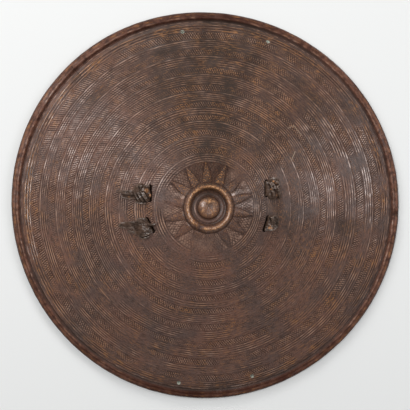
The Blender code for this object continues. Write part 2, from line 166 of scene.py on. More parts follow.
def cone_height(radius):
    """Height of the smooth front at a distance from the axis."""
    share = (FIELD_RADIUS - radius) / FIELD_RADIUS
    return FIELD_HEIGHT + CONE_RISE * (share + CONE_FULLNESS * share * (1 - share))


def cone_slope(radius):
    """Rise of the front for each metre towards the rim, which is negative."""
    share = (FIELD_RADIUS - radius) / FIELD_RADIUS
    return -CONE_RISE * (1 + CONE_FULLNESS * (1 - 2 * share)) / FIELD_RADIUS


def back_height(radius):
    """Height of the back, a full thickness behind the front."""
    return cone_height(radius) - HIDE_THICKNESS * np.hypot(1, cone_slope(radius))


def swell(angle):
    """How far the edge stands out of a true circle in one direction."""
    oval = OVAL_SWELL * np.cos(2 * (angle - OVAL_DIRECTION))
    return oval + LOBE_SWELL * np.cos(3 * (angle - LOBE_DIRECTION))


def out_of_round(points):
    """Move points of the true cone to where the worked hide has them."""
    round_trip = np.linspace(0, FULL_TURN, 720, endpoint=False)
    reach = RIM_RADIUS + swell(round_trip)
    edge = np.stack([reach * np.cos(round_trip), reach * np.sin(round_trip)])
    middle = (edge.min(axis=1) + edge.max(axis=1)) / 2
    x, y = points[:, 0], points[:, 1]
    radius = np.maximum(np.hypot(x, y), 1e-9)
    share = np.clip((radius - ROUND_RADIUS) / (RIM_RADIUS - ROUND_RADIUS), 0, None) ** 2
    stretch = 1 + swell(np.arctan2(y, x)) * share / radius
    moved = points.copy()
    moved[:, 0] = x * stretch - middle[0] * share
    moved[:, 1] = y * stretch - middle[1] * share
    return moved


print("top of the smooth cone:", round(cone_height(0.0), 4))

# %% [markdown]
# ## A way to build rings of points
#
# Thousands of tool strokes cover the front. Those that lean the main way are real dents, and the
# second set, which crosses them, is left to the finish. Subdividing a disc until every stroke
# fits would need millions of faces. The hide is built ring by ring instead: each ring has only as
# many points as its strokes ask for, and two rings with different counts are stitched with
# triangles. With every ring go five marks that the finish reads later:
# how deep the tool went, which also carries painted shade in the rim's groove, under the rim, in
# the boss's sunk floor and at the foot of its ring, how high a crest stands, how much bare tan
# hide shows, how much orange dirt there is, and how strongly a second set of strokes crosses the
# first. Every face also keeps how many strokes there are in a full turn.

# %% Rings of points
MARKS = ("groove", "crest", "tan", "stain", "crossed")
PLAIN_STROKES = 400.0


class Rings:
    """Rings of points round the axis, joined one to the next."""

    def __init__(self):
        self.points = []
        self.faces = []
        self.strokes = []
        self.marks = {mark: [] for mark in MARKS}
        self.count = 0
        self.last = None

    def add(self, angles, radii, heights, strokes=PLAIN_STROKES, **marks):
        """Add a ring and join it to the one before."""
        self.place_ring(angles, radii, heights, marks)
        self.strokes += [float(strokes)] * (len(self.faces) - len(self.strokes))

    def place_ring(self, angles, radii, heights, marks):
        """Put down the points of a ring and the faces to the ring before."""
        size = len(angles)
        radii = np.broadcast_to(radii, size)
        heights = np.broadcast_to(heights, size)
        spots = np.stack([radii * np.cos(angles), radii * np.sin(angles), heights], axis=1)
        self.points.append(spots)
        for mark in MARKS:
            self.marks[mark].append(np.broadcast_to(marks.get(mark, 0.0), size).astype(float))
        ring = (self.count, np.asarray(angles, dtype=float))
        self.count += size
        if self.last is not None:
            self.join(self.last, ring)
        self.last = ring

    def join(self, one, two):
        """Quads between rings of the same count, stitched triangles between others."""
        first, after = one[0], two[0]
        size_one, size_two = len(one[1]), len(two[1])
        if size_one == size_two:
            for i in range(size_one):
                j = (i + 1) % size_one
                self.faces.append((first + i, after + i, after + j, first + j))
            return
        turned = (two[1] - one[1][0] + math.pi / size_two) % FULL_TURN
        start = int(np.argmin(turned))
        here = (one[1] - one[1][0]) / FULL_TURN
        there = (np.roll(turned, -start) - math.pi / size_two) / FULL_TURN
        here = np.append(here - here[0], 1.0)
        there = np.append(there, there[0] + 1.0)
        i = j = 0
        while i < size_one or j < size_two:
            a = first + i % size_one
            b = after + (start + j) % size_two
            if j == size_two or (i < size_one and here[i + 1] <= there[j + 1]):
                self.faces.append((a, b, first + (i + 1) % size_one))
                i += 1
            else:
                self.faces.append((a, b, after + (start + j + 1) % size_two))
                j += 1

    def close(self, height, first, **marks):
        """Close the middle of the front or of the back with a fan."""
        self.points.append(np.array([[0.0, 0.0, height]]))
        for mark in MARKS:
            self.marks[mark].append(np.array([float(marks.get(mark, 0.0))]))
        pole = self.count
        self.count += 1
        ring = (0, self.size_of_first) if first else (self.last[0], len(self.last[1]))
        for i in range(ring[1]):
            j = (i + 1) % ring[1]
            corners = (pole, ring[0] + i, ring[0] + j) if first else (ring[0] + i, pole, ring[0] + j)
            self.faces.append(corners)
            self.strokes.append(PLAIN_STROKES)


def even_angles(count, turn=0.0):
    """Evenly spaced directions round the axis."""
    return turn + FULL_TURN * np.arange(count) / count


def cloud(spots, size, seed):
    """Soft noise from about -1 to 1 at each spot, with lumps of the given size."""
    shift = Vector((seed * 17.3, seed * 5.1, seed * 9.7))
    values = (noise.noise(Vector(spot) / size + shift) for spot in spots)
    return np.fromiter(values, float, len(spots))


def ring_cloud(angles, radius, size, seed):
    """Soft noise round one ring."""
    radius = np.broadcast_to(radius, len(angles))
    spots = np.stack([radius * np.cos(angles), radius * np.sin(angles), radius * 0], axis=1)
    return cloud(spots, size, seed)


def soft_step(values, low, high):
    """0 below low, 1 above high and a smooth rise between."""
    share = np.clip((values - low) / (high - low), 0, 1)
    return share * share * (3 - 2 * share)


def near_direction(angles, degrees, spread):
    """1 in one direction, falling to 0 at about twice the spread, both in degrees."""
    apart = np.degrees(np.angle(np.exp(1j * (np.asarray(angles) - math.radians(degrees)))))
    return np.exp(-((apart / spread) ** 2))


print("marks on the hide:", ", ".join(MARKS))

# %% [markdown]
# ## Where the tooling is worn and where it is stained
#
# Years of carrying have rubbed some of the strokes flat, and in other places orange-brown dirt
# has stayed in them. A third list darkens the hide: with soot and grease in some patches, and with
# painted shade at the top, at the sides and on the lower rim. All three are laid out once here, by
# direction and distance from the middle, and soft noise breaks their edges. The strokes, the
# petals and the finish all use them.

# %% Worn and stained places
WORN_PLACES = (
    (106, 0.272, 9, 0.016, 0.9),
    (133, 0.262, 6, 0.014, 0.7),
    (50, 0.262, 13, 0.022, 0.8),
    (318, 0.226, 9, 0.026, 0.7),
    (262, 0.062, 36, 0.016, 1.0),
    (210, 0.150, 14, 0.030, 0.5),
    (350, 0.130, 26, 0.040, 0.8),
    (292, 0.180, 12, 0.030, 0.5),
)
# Soot and grease in some patches, and painted shade at the top, at the sides and on the lower rim.
SOOT_AND_SHADE_PLACES = (
    (88, 0.170, 36, 0.300, 1.05),
    (92, 0.050, 50, 0.050, 0.75),
    (86, 0.285, 24, 0.050, 0.95),
    (46, 0.170, 26, 0.200, 0.55),
    (106, 0.272, 9, 0.014, 1.00),
    (133, 0.262, 6, 0.014, 0.60),
    (50, 0.262, 13, 0.022, 0.80),
    (352, 0.235, 5, 0.020, 0.50),
    (150, 0.160, 12, 0.020, 0.35),
    (2, 0.110, 34, 0.070, 0.50),
    (268, 0.322, 52, 0.014, 0.95),
    (182, 0.195, 24, 0.050, 0.22),
)
STAINED_PLACES = (
    (101, 0.170, 7, 0.130, 0.6),
    (112, 0.240, 16, 0.060, 0.5),
    (84, 0.250, 10, 0.050, 0.6),
    (60, 0.100, 22, 0.040, 0.6),
    (336, 0.215, 12, 0.090, 0.6),
    (312, 0.245, 8, 0.040, 0.6),
    (268, 0.270, 24, 0.040, 0.5),
    (206, 0.250, 22, 0.050, 0.4),
    (180, 0.304, 40, 0.012, 0.7),
    (20, 0.304, 40, 0.010, 0.5),
)


def placed(angles, radius, places):
    """Strongest of the listed places at each point of a ring."""
    total = np.zeros(len(angles))
    for degrees, distance, spread, reach, strength in places:
        share = near_direction(angles, degrees, spread) * np.exp(-((radius - distance) / reach) ** 2)
        total = np.maximum(total, strength * share)
    return total


def worn_share(angles, radius):
    """How far the tooling is rubbed away, from 0 to 1."""
    patches = placed(angles, radius, WORN_PLACES) * (0.8 + 0.5 * ring_cloud(angles, radius, 0.030, 3))
    general = soft_step(ring_cloud(angles, radius, 0.038, 4), -0.05, 0.50) * 0.70
    general *= 1 - 0.7 * near_direction(angles, 145, 38) * soft_step(radius, 0.080, 0.110)
    return np.clip(np.maximum(patches, general), 0, 1)


def soot_and_shade_share(angles, radius):
    """How much the hide is darkened, from 0 to 1: by soot and grease in some patches, and as painted
    shade at the top, at the sides and on the lower rim.
    """
    lumps = 0.95 + 0.35 * ring_cloud(angles, radius, 0.025, 8)
    specks = 0.14 * ring_cloud(angles, radius, 0.012, 9)
    return np.clip(placed(angles, radius, SOOT_AND_SHADE_PLACES) * lumps + specks, 0, 1)


def stain_share(angles, radius):
    """How much orange dirt sits in the dents, from 0 to 1."""
    patches = placed(angles, radius, STAINED_PLACES)
    lumps = 0.8 * ring_cloud(angles, radius, 0.022, 5)
    crumbs = 0.7 * ring_cloud(angles, radius, 0.006, 6)
    general = 0.34 + 0.40 * ring_cloud(angles, radius, 0.040, 7)
    return np.clip(np.maximum(patches, general) * (0.70 + lumps + crumbs), 0, 1)


def one_way(angles):
    """1 where the strokes lean one way only, at the upper left, and 0 where they cross."""
    return near_direction(angles, 140, 34)


def firm(angles):
    """How firmly the iron was pressed, which is less at the bottom than elsewhere."""
    return 1 - 0.17 * near_direction(angles, 284, 62)


# %% [markdown]
# ## The boss
#
# A raised ring runs round a sunk floor with a faint ridge, and a round knob stands in the middle
# with a dimple. The ring's crest is rubbed to bare tan hide, and at the lower left a piece of it
# is worn away. The sunk floor and the foot of the ring are painted dark as shade, a pale arc on
# the floor's ridge at the left is a painted highlight, and a grey patch at the knob's upper left
# is painted sheen. The half section is listed from the axis outwards and every ring of points
# gets a little unevenness, which keeps the crest from looking turned on a lathe.

# %% Boss
BOSS_POINTS = 112
RING_RADIUS = 0.0350
RING_WIDTH = 0.0084
RING_RISE = 0.0068
RING_FOOT = 0.0030
RECESS_DEPTH = 0.0080
KNOB_RISE = 0.0090
WORN_GAP_DIRECTION = 246
WORN_GAP_SPREAD = 10.5

crest_height = cone_height(RING_RADIUS + RING_WIDTH / 2) + RING_RISE
recess_height = crest_height - RECESS_DEPTH
knob_top = recess_height + KNOB_RISE
petal_foot = RING_RADIUS + RING_WIDTH / 2 + RING_FOOT


def boss_section():
    """Radius, height, groove and painted shade, crest, tan and stain of each ring, from the dimple
    outwards.
    """
    floor = recess_height
    return (
        (0.0012, knob_top - 0.0008, 0.1, 0.3, 0.30, 0.1),
        (0.0024, knob_top - 0.0011, 0.4, 0.0, 0.25, 0.2),
        (0.0038, knob_top - 0.0005, 0.0, 0.5, 0.60, 0.0),
        (0.0052, knob_top - 0.0004, 0.0, 0.3, 0.55, 0.1),
        (0.0066, knob_top - 0.0008, 0.3, 0.0, 0.35, 0.4),
        (0.0080, knob_top - 0.0005, 0.1, 0.2, 0.50, 0.3),
        (0.0098, knob_top - 0.0002, 0.0, 0.3, 0.60, 0.2),
        (0.0116, knob_top - 0.0005, 0.0, 0.3, 0.65, 0.2),
        (0.0134, knob_top - 0.0012, 0.0, 0.3, 0.65, 0.3),
        (0.0150, knob_top - 0.0022, 0.0, 0.3, 0.50, 0.4),
        (0.0163, knob_top - 0.0036, 0.0, 0.2, 0.28, 0.5),
        (0.0172, knob_top - 0.0052, 0.3, 0.0, 0.10, 0.4),
        (0.0178, knob_top - 0.0068, 0.7, 0.0, 0.00, 0.2),
        (0.0182, floor + 0.0009, 1.0, 0.0, 0.00, 0.1),
        (0.0189, floor + 0.0001, 1.0, 0.0, 0.00, 0.1),
        (0.0200, floor, 0.8, 0.0, 0.00, 0.1),
        (0.0214, floor + 0.0006, 0.4, 0.0, 0.00, 0.1),
        (0.0228, floor + 0.0010, 0.3, 0.1, 0.00, 0.1),
        (0.0242, floor + 0.0006, 0.5, 0.0, 0.00, 0.1),
        (0.0256, floor, 0.8, 0.0, 0.00, 0.1),
        (0.0272, floor + 0.0001, 0.8, 0.0, 0.00, 0.1),
        (0.0286, floor + 0.0006, 0.9, 0.0, 0.00, 0.1),
        (0.0296, floor + 0.0018, 0.8, 0.0, 0.00, 0.2),
        (0.0305, floor + 0.0036, 0.5, 0.1, 0.00, 0.5),
        (0.0313, floor + 0.0054, 0.1, 0.3, 0.05, 0.8),
        (0.0323, floor + 0.0068, 0.0, 0.5, 0.15, 0.8),
        (0.0334, crest_height - 0.0004, 0.0, 0.8, 0.52, 0.6),
        (0.0346, crest_height, 0.0, 1.0, 0.95, 0.1),
        (0.0358, crest_height - 0.0002, 0.0, 0.9, 0.66, 0.4),
        (0.0370, crest_height - 0.0010, 0.0, 0.5, 0.22, 0.7),
        (0.0381, crest_height - 0.0022, 0.2, 0.1, 0.05, 0.6),
        (0.0392, crest_height - 0.0038, 0.4, 0.0, 0.00, 0.4),
        (0.0404, cone_height(0.0404) + 0.0019, 0.7, 0.0, 0.00, 0.2),
        (0.0418, cone_height(0.0418) + 0.0003, 1.0, 0.0, 0.00, 0.1),
    )


def add_boss(hide):
    """Rings of points for the knob, the sunk floor and the worn ring."""
    angles = even_angles(BOSS_POINTS)
    gap = near_direction(angles, WORN_GAP_DIRECTION, WORN_GAP_SPREAD)
    for radius, height, groove, crest, tan, stain in boss_section():
        lumps = ring_cloud(angles, radius, 0.0050, 11)
        pits = ring_cloud(angles, radius, 0.0022, 12)
        worn = ring_cloud(angles, radius, 0.0090, 14)
        on_ring = soft_step(radius, 0.0298, 0.0315) * (1 - soft_step(radius, 0.0400, 0.0425))
        on_knob = 1 - soft_step(radius, 0.0165, 0.0180)
        uneven = (0.00042 * lumps + 0.00022 * pits) * (0.35 + on_ring + on_knob)
        lost = gap * on_ring * (height - recess_height - 0.0035)
        spread = radius + 0.0008 * lumps * on_ring
        outer = soft_step(radius, 0.005, 0.008) * on_knob
        rust = outer * near_direction(angles, 262, 62)
        # Painted sheen: at the knob's upper left the tan gives way to a pale rubbed grey with more
        # coat.
        knob_sheen = outer * near_direction(angles, 152, 34)
        # Painted highlight: a pale, glossier arc on the ridge of the sunk floor at the left.
        floor_highlight = near_direction(angles, 182, 34) * math.exp(-((radius - 0.0226) / 0.0015) ** 2)
        mottled = 0.75 + 1.1 * lumps + 0.8 * pits
        bare = tan * np.where(on_ring > on_knob, 1 + 0.7 * worn, mottled) * (1 - 0.95 * gap * on_ring)
        dark = on_knob * np.clip(0.35 - 1.3 * lumps, 0, 1) * soft_step(radius, 0.004, 0.009)
        lost_tan = gap * on_ring
        rusty = 0.75 * rust * (0.7 + worn)
        hide.add(angles, spread, height + uneven - np.clip(lost, 0, None),
                 groove=np.clip(groove + 0.5 * dark + 0.7 * lost_tan, 0, 1),
                 crest=np.clip(crest * (1 - gap) + 0.8 * knob_sheen + 0.7 * floor_highlight, 0, 1),
                 tan=np.clip(bare * (1 - 0.45 * rust) * (1 - 0.85 * knob_sheen), 0, 1),
                 stain=np.clip(stain * (1 - knob_sheen) * (1 - 0.8 * lost_tan) + rusty, 0, 1))
    hide.size_of_first = BOSS_POINTS


# %% [markdown]
# ## The sun of petals
#
# Fourteen low wedges point away from the boss. The columns of points run along the wedges' own
# edges instead of straight out, so the edges come out clean with few points. Each wedge has a
# spine, a dug line beside it, and climbs a little where it meets the ring.

# %% Petals
PETAL_COUNT = 14
PETAL_TURN = math.radians(350.5)
PETAL_TIP_RADIUS = 0.0735
PETAL_RINGS = 19
PETAL_EDGE_RISE = 0.0009
PETAL_SPINE_RISE = 0.0018
PETAL_LINE_WIDTH = 0.0009
PETAL_LINE_DEPTH = 0.0006
PETAL_CLIMB = 0.0012
INSIDE_SHARES = (0.0, 0.42, 0.80, 1.0)
OUTSIDE_SHARES = (0.35, 0.65, 1.0)


def petal_columns(radius):
    """Direction from a wedge's spine, rise and marks of each column between two spines."""
    share = (radius - petal_foot) / (PETAL_TIP_RADIUS - petal_foot)
    half = math.pi / PETAL_COUNT
    edge = (0.84 * half - PETAL_LINE_WIDTH / radius) * max(1 - share, 0.05) ** 1.15
    fade = max(1 - share, 0.0) ** 0.3
    dug = min(PETAL_LINE_WIDTH / radius, (half - edge) / 3)
    right = []
    for inside in INSIDE_SHARES:
        rise = PETAL_SPINE_RISE + (PETAL_EDGE_RISE - PETAL_SPINE_RISE) * inside
        right.append((edge * inside, rise * fade, 0.0, 0.5 if inside in (0.0, 1.0) else 0.1, 1.0))
    right.append((edge + dug, -PETAL_LINE_DEPTH * fade, 0.6, 0.0, 0.0))
    for outside in OUTSIDE_SHARES:
        right.append((edge + dug + (half - edge - dug) * outside, 0.0, 0.42, 1.3, 0.0))
    left = [(-turn, *rest) for turn, *rest in right[1:-1]]
    return list(reversed(left)) + right, PETAL_CLIMB * max(1 - share, 0.0) ** 3


def add_petals(hide):
    """Rings of points for the wedges, from the boss to their tips."""
    for step in range(1, PETAL_RINGS + 1):
        radius = petal_foot + (PETAL_TIP_RADIUS - petal_foot) * step / PETAL_RINGS
        columns, climb = petal_columns(radius)
        one = np.array(columns)
        turns = PETAL_TURN + FULL_TURN * np.arange(PETAL_COUNT) / PETAL_COUNT
        angles = (turns[:, None] + one[None, :, 0]).ravel()
        rise, groove, crest, inside = (np.tile(one[:, i], PETAL_COUNT) for i in (1, 2, 3, 4))
        keep = 1 - 0.85 * worn_share(angles, radius)
        beads = 0.00050 * ring_cloud(angles, radius, 0.0024, 13) * (0.3 + 0.7 * inside)
        rise = (rise + beads + climb * inside) * keep
        upper = np.maximum(near_direction(angles, 92, 52), 0.40 * near_direction(angles, 197, 22))
        upper = np.maximum(upper, 0.40 * near_direction(angles, 345, 22))
        patchy = 0.80 + 1.3 * ring_cloud(angles, radius, 0.0036, 15)
        dark = np.clip(0.45 + 1.3 * ring_cloud(angles, radius, 0.0030, 16), 0, 0.9)
        dark *= 0.25 + 0.7 * near_direction(angles, 75, 75)
        stain = inside * keep * np.clip((0.26 + 0.75 * upper) * patchy, 0, 1)
        # Painted highlight: pale rubbed colour with more coat next to the ring, a little above the left
        # and the right.
        glint = np.maximum(near_direction(angles, 24, 13), near_direction(angles, 160, 15))
        glint *= soft_step(-radius, -0.0520, -0.0440) * (1 - 0.6 * inside)
        above, below = near_direction(angles, 75, 75), near_direction(angles, 264, 45)
        groove = groove + dark * inside + 0.36 * above * (1 - inside)
        stain = np.maximum(stain, 0.05)
        hide.add(angles, radius, cone_height(radius) + rise,
                 groove=np.clip(groove * keep * (1 - glint), 0, 1),
                 crest=np.maximum(crest * keep * 0.8, np.maximum(glint, 0.5 * below)), stain=stain,
                 crossed=keep * (1 - 0.5 * inside) * (1 - glint), strokes=88)


# %% [markdown]
# ## The tooled bands
#
# Eight pairs of bands cover the cone. In each pair the inner strip has a few fine lines that run
# round the shield, at the upper left with short dents across them, and the outer strip is hatched
# with slanting strokes, which cross each other except at the upper left. A raised line parts the
# two. The columns of points lean with the strokes, two for each stroke, one in the dent and one
# on the ridge beside it.

# %% Bands
BAND_WIDTHS = (
    (0.0159, 0.0123), (0.0162, 0.0166), (0.0147, 0.0154), (0.0140, 0.0149),
    (0.0125, 0.0095), (0.0130, 0.0120), (0.0145, 0.0159), (0.0135, 0.0130),
)
BAND_OUTER_RADIUS = 0.2980
STROKE_PITCH = 0.0039
STROKE_LEAN = math.radians(60)
STROKE_DEPTH = 0.00100
STROKE_RINGS = 4
RIDGE_WIDTH = 0.0022
RIDGE_RISE = 0.00080
LINE_PITCH = 0.0036
LINE_DEPTH = 0.00085
CROSS_PITCH = 0.0043
CROSS_DEPTH = 0.00045
BELT_WIDTH = 0.0008


def leaning(angles, step, radius):
    """Turn a ring of directions on as far as a leaning stroke gets in one step outwards."""
    return angles + step / (math.tan(STROKE_LEAN) * radius)


def add_lined_strip(hide, inner, outer, chance):
    """A strip of fine lines round the shield, crossed by short dents."""
    lines = max(2, round((outer - inner) / LINE_PITCH))
    middle = (inner + outer) / 2
    count = 2 * round(FULL_TURN * middle / CROSS_PITCH)
    angles = even_angles(count, chance.uniform(0, FULL_TURN))
    strength = np.repeat(chance.uniform(0.6, 1.2, count // 2), 2)
    in_dent = np.arange(count) % 2
    step = (outer - inner) / (2 * lines)
    for ring in range(2 * lines + 1):
        radius = inner + step * ring
        angles = leaning(angles, step, radius)
        keep = (1 - 0.9 * worn_share(angles, radius)) * firm(angles)
        on_line = ring % 2
        fine = 0.85 + 0.6 * ring_cloud(angles, radius, 0.0100, 21)
        uncrossed = one_way(angles)
        across = in_dent * strength * (0.15 + 0.85 * uncrossed)
        rise = keep * fine * (LINE_DEPTH * (on_line - 0.5) - CROSS_DEPTH * across)
        between = (1 - on_line) * (1.1 - 0.4 * uncrossed)
        crest = np.clip((1 - 0.7 * across) * fine * (1 + 0.3 * uncrossed), 0, 1.2)
        stain = stain_share(angles, radius) * (0.35 + 0.25 * on_line)
        hide.add(angles, radius, cone_height(radius) + rise,
                 groove=keep * np.clip((between + across * 0.5) * fine, 0, 1),
                 crest=keep * on_line * crest, stain=stain * (1 - 0.7 * uncrossed),
                 crossed=keep * on_line * 0.25 * uncrossed, strokes=count // 2)


def add_hatched_strip(hide, inner, outer, chance):
    """The raised line and the strip of slanting strokes outside it."""
    middle = (inner + outer) / 2
    count = 2 * round(FULL_TURN * middle / STROKE_PITCH)
    angles = even_angles(count, chance.uniform(0, FULL_TURN))
    wander = np.repeat(chance.normal(0, 0.10, count // 2), 2) * FULL_TURN / count
    strength = np.repeat(chance.uniform(0.65, 1.2, count // 2), 2)
    in_dent = np.arange(count) % 2
    for share, rise, mark in ((0.5, RIDGE_RISE, 1.0), (1.0, 0.0, 0.0)):
        radius = inner + RIDGE_WIDTH * share
        keep = 1 - 0.6 * worn_share(angles, radius)
        height = cone_height(radius) + rise * keep * (1 + 0.3 * ring_cloud(angles, radius, 0.01, 22))
        broken = np.clip(0.9 + 0.9 * ring_cloud(angles, radius, 0.0150, 24), 0, 1.3) * firm(angles) ** 5
        hide.add(angles, radius, height, groove=(1 - mark) * keep * 0.5, crest=mark * broken,
                 stain=stain_share(angles, radius) * 0.4 * (1 - one_way(angles)), strokes=count // 2)
    start = inner + RIDGE_WIDTH
    shares = np.linspace(0, 1, STROKE_RINGS + 1)[1:]
    shares = 0.5 - 0.5 * np.cos(math.pi * shares) * 0.6 - 0.5 * (1 - 2 * shares) * 0.4
    before = start
    for share in shares:
        radius = start + (outer - start) * share
        angles = leaning(angles, radius - before, radius)
        before = radius
        keep = (1 - 0.9 * worn_share(angles, radius)) * firm(angles)
        inside = 1.0 if share < 0.98 else 0.25
        beads = 0.9 + 0.5 * ring_cloud(angles, radius, 0.0032, 23)
        rise = STROKE_DEPTH * keep * inside * beads * strength * (0.5 - in_dent)
        groove = np.clip(keep * inside * in_dent * strength * beads, 0, 1)
        hide.add(angles + wander, radius, cone_height(radius) + rise, groove=groove,
                 crest=keep * inside * (1 - in_dent) * (1.0 - 0.2 * one_way(angles)),
                 stain=stain_share(angles, radius) * (0.50 + 0.15 * in_dent),
                 crossed=keep * inside * (1 - 0.8 * one_way(angles)), strokes=count // 2)


def add_bands(hide, chance):
    """All pairs of strips, from the petals out to the margin."""
    edges = [BAND_OUTER_RADIUS]
    for hatched, lined in BAND_WIDTHS:
        edges.append(edges[-1] - hatched)
        edges.append(edges[-1] - lined)
    edges.reverse()
    for inner, middle, outer in zip(edges[0::2], edges[1::2], edges[2::2]):
        add_lined_strip(hide, inner + BELT_WIDTH, middle - BELT_WIDTH, chance)
        add_hatched_strip(hide, middle, outer, chance)
    print("bands run from", round(edges[0], 4), "to", round(edges[-1], 4))


# %% [markdown]
# ## Margin and rim
#
# Three fine lines close the tooling, then comes a plain strip, a deep groove and the rolled rim.
# The rim is the part that gets knocked about, so its crest and its outer slope are wavy. Its
# underside is the flat ring that the shield rests on.

# %% Margin and rim
MARGIN_POINTS = 300
RIM_POINTS = 520
MARGIN_LINES = (0.2999, 0.3037, 0.3078)
MARGIN_LINE_RISE = 0.0008
REST_WIDTH = 0.0100
EDGE_ROUND = 0.0016
NOTCH_DIRECTION = 357.3
NOTCH_SPREAD = 0.75
PRESSED_DIRECTION = 274
PRESSED_SPREAD = 38


def add_margin(hide):
    """Three lines and the plain strip outside them."""
    angles = even_angles(MARGIN_POINTS)
    for line in MARGIN_LINES:
        for offset, rise, groove, crest in ((-0.0010, -0.4, 1.0, 0.0), (0.0, 1.0, 0.0, 1.0),
                                            (0.0011, 0.1, 0.4, 0.1)):
            radius = line + offset
            keep = 1 - 0.8 * worn_share(angles, radius)
            broken = np.clip(0.85 + 0.8 * ring_cloud(angles, radius, 0.020, 26), 0, 1)
            hide.add(angles, radius, cone_height(radius) + rise * MARGIN_LINE_RISE * keep,
                     groove=groove * keep, crest=crest * keep * broken,
                     stain=stain_share(angles, radius))
    for radius, stain in ((0.3095, 0.35), (0.3105, 0.15), (0.3118, 0.1)):
        hide.add(angles, radius, cone_height(radius), crest=0.15,
                 stain=stain * (1 + ring_cloud(angles, radius, 0.02, 27)))


def add_rim(hide):
    """Lip, groove, rolled crest, outer slope and the flat underside, with painted shade in the groove,
    on the outer slope and underneath.
    """
    angles = even_angles(RIM_POINTS)
    crest = FIELD_HEIGHT + 0.0036
    section = (
        (0.3126, cone_height(0.3126) + 0.0002, 0.0, 0.6, 0.1),
        (0.3133, cone_height(0.3133) + 0.0001, 0.0, 1.4, 0.0),
        (0.3139, FIELD_HEIGHT - 0.0007, 0.5, 0.0, 0.0),
        (0.3147, FIELD_HEIGHT - 0.0015, 0.7, 0.0, 0.0),
        (0.3157, FIELD_HEIGHT - 0.0012, 0.7, 0.0, 0.0),
        (0.3168, FIELD_HEIGHT + 0.0002, 0.6, 0.0, 0.0),
        (0.3178, crest - 0.0018, 0.4, 0.1, 0.0),
        (0.3188, crest - 0.0005, 0.1, 0.5, 0.1),
        (0.3199, crest, 0.0, 1.0, 0.1),
        (0.3212, crest - 0.0004, 0.1, 0.8, 0.1),
        (0.3226, crest - 0.0014, 0.7, 0.0, 0.1),
        (0.3241, crest - 0.0017, 0.3, 0.1, 0.3),
        (0.3256, crest - 0.0017, 0.0, 0.6, 0.5),
        (0.3270, crest - 0.0024, 0.1, 0.4, 0.4),
        (0.3283, crest - 0.0040, 0.5, 0.0, 0.1),
        (0.3293, crest - 0.0060, 0.8, 0.0, 0.0),
        (0.3300, 0.0050, 0.7, 0.0, 0.1),
        (0.3298, 0.0022, 0.8, 0.0, 0.0),
        (0.3291, 0.0006, 0.8, 0.0, 0.0),
    )
    notch = near_direction(angles, NOTCH_DIRECTION, NOTCH_SPREAD)
    pressed = near_direction(angles, PRESSED_DIRECTION, PRESSED_SPREAD)
    for radius, height, groove, worn, stain in section:
        up = soft_step(height, 0.003, 0.008)
        on_rim = soft_step(radius, 0.3165, 0.3180)
        waves = ring_cloud(angles, RIM_RADIUS, 0.045, 31) * 0.0008
        knocks = ring_cloud(angles, radius, 0.0065, 32) * 0.0007
        dents = ring_cloud(angles, radius, 0.0200, 33) * 0.0009
        sideways = ring_cloud(angles, radius, 0.0110, 34) * 0.0008 * soft_step(radius, 0.312, 0.318)
        flattened = 0.0022 * pressed * on_rim * (1 - soft_step(radius, 0.320, 0.328))
        lost = 0.0021 * notch * on_rim + flattened
        filled = 0.0007 * pressed * (1 - on_rim)
        patchy = np.clip(0.55 + 1.2 * ring_cloud(angles, radius, 0.0060, 35), 0, 1)
        # The groove's painted shade is weaker at the bottom, the top and the upper right.
        soft = 1 - 0.5 * pressed - 0.3 * near_direction(angles, 118, 44)
        soft = soft - 0.4 * near_direction(angles, 60, 30)
        hide.add(angles, radius + sideways * up, height + (waves + knocks + dents - lost + filled) * up,
                 groove=np.clip(groove * soft + notch * on_rim, 0, 1),
                 crest=worn * (1 - notch) * (1 - 0.7 * pressed * on_rim) * patchy,
                 stain=stain * patchy)
    outside = RIM_RADIUS - EDGE_ROUND
    hide.add(angles, outside, 0.0)
    hide.add(angles, outside - REST_WIDTH, 0.0)


# %% [markdown]
# ## The back
#
# The back is left as the press made it: the smooth inner cone, a full hide's thickness behind
# the front, and a shallow hollow behind the boss. A few wider rings are enough.

# %% Back
BACK_POINTS = 128
BACK_RINGS = 14
HOLLOW_RADIUS = 0.0300
HOLLOW_LIP = 0.0160


def add_back(hide):
    """Rings of points from the rest inwards to the middle of the back."""
    angles = even_angles(BACK_POINTS)
    outside = RIM_RADIUS - EDGE_ROUND - REST_WIDTH - 0.0045
    lip = HOLLOW_RADIUS + HOLLOW_LIP
    ceiling = recess_height - HIDE_THICKNESS
    for step in range(BACK_RINGS + 1):
        radius = outside + (lip - outside) * step / BACK_RINGS
        uneven = 0.0005 * ring_cloud(angles, radius, 0.050, 41)
        hide.add(angles, radius, back_height(radius) + uneven, groove=0.1)
    for share in (0.25, 0.55, 0.8, 1.0):
        radius = lip + (HOLLOW_RADIUS - lip) * share
        rise = (ceiling - back_height(lip)) * soft_step(share, 0, 1)
        hide.add(angles, radius, back_height(lip) + rise, groove=0.2)
    for radius in (0.020, 0.010):
        hide.add(angles, radius, ceiling, groove=0.2)
    hide.close(ceiling, first=False)


# %% [markdown]
# ## The hide as one mesh
#
# The bands weren't struck from the shield's own middle: they drift a few millimetres to the left
# and down, and back again towards the margin. Soft noise also moves the strokes about and dents
# the cone by less than a millimetre.

# %% Join the rings into the hide
TOOLING_SEED = 1931
DRIFT_RADIUS = (0.075, 0.110, 0.165, 0.225, 0.255, 0.285, 0.304, 0.312)
DRIFT_X = (0.0, -0.0040, -0.0050, -0.0042, -0.0008, 0.0012, 0.0006, 0.0)
DRIFT_Y = (0.0, -0.0012, -0.0020, -0.0022, -0.0020, -0.0028, -0.0010, 0.0)
SQUEEZE_X = (0.0, 0.009, 0.010, 0.010, 0.008, 0.004, 0.001, 0.0)


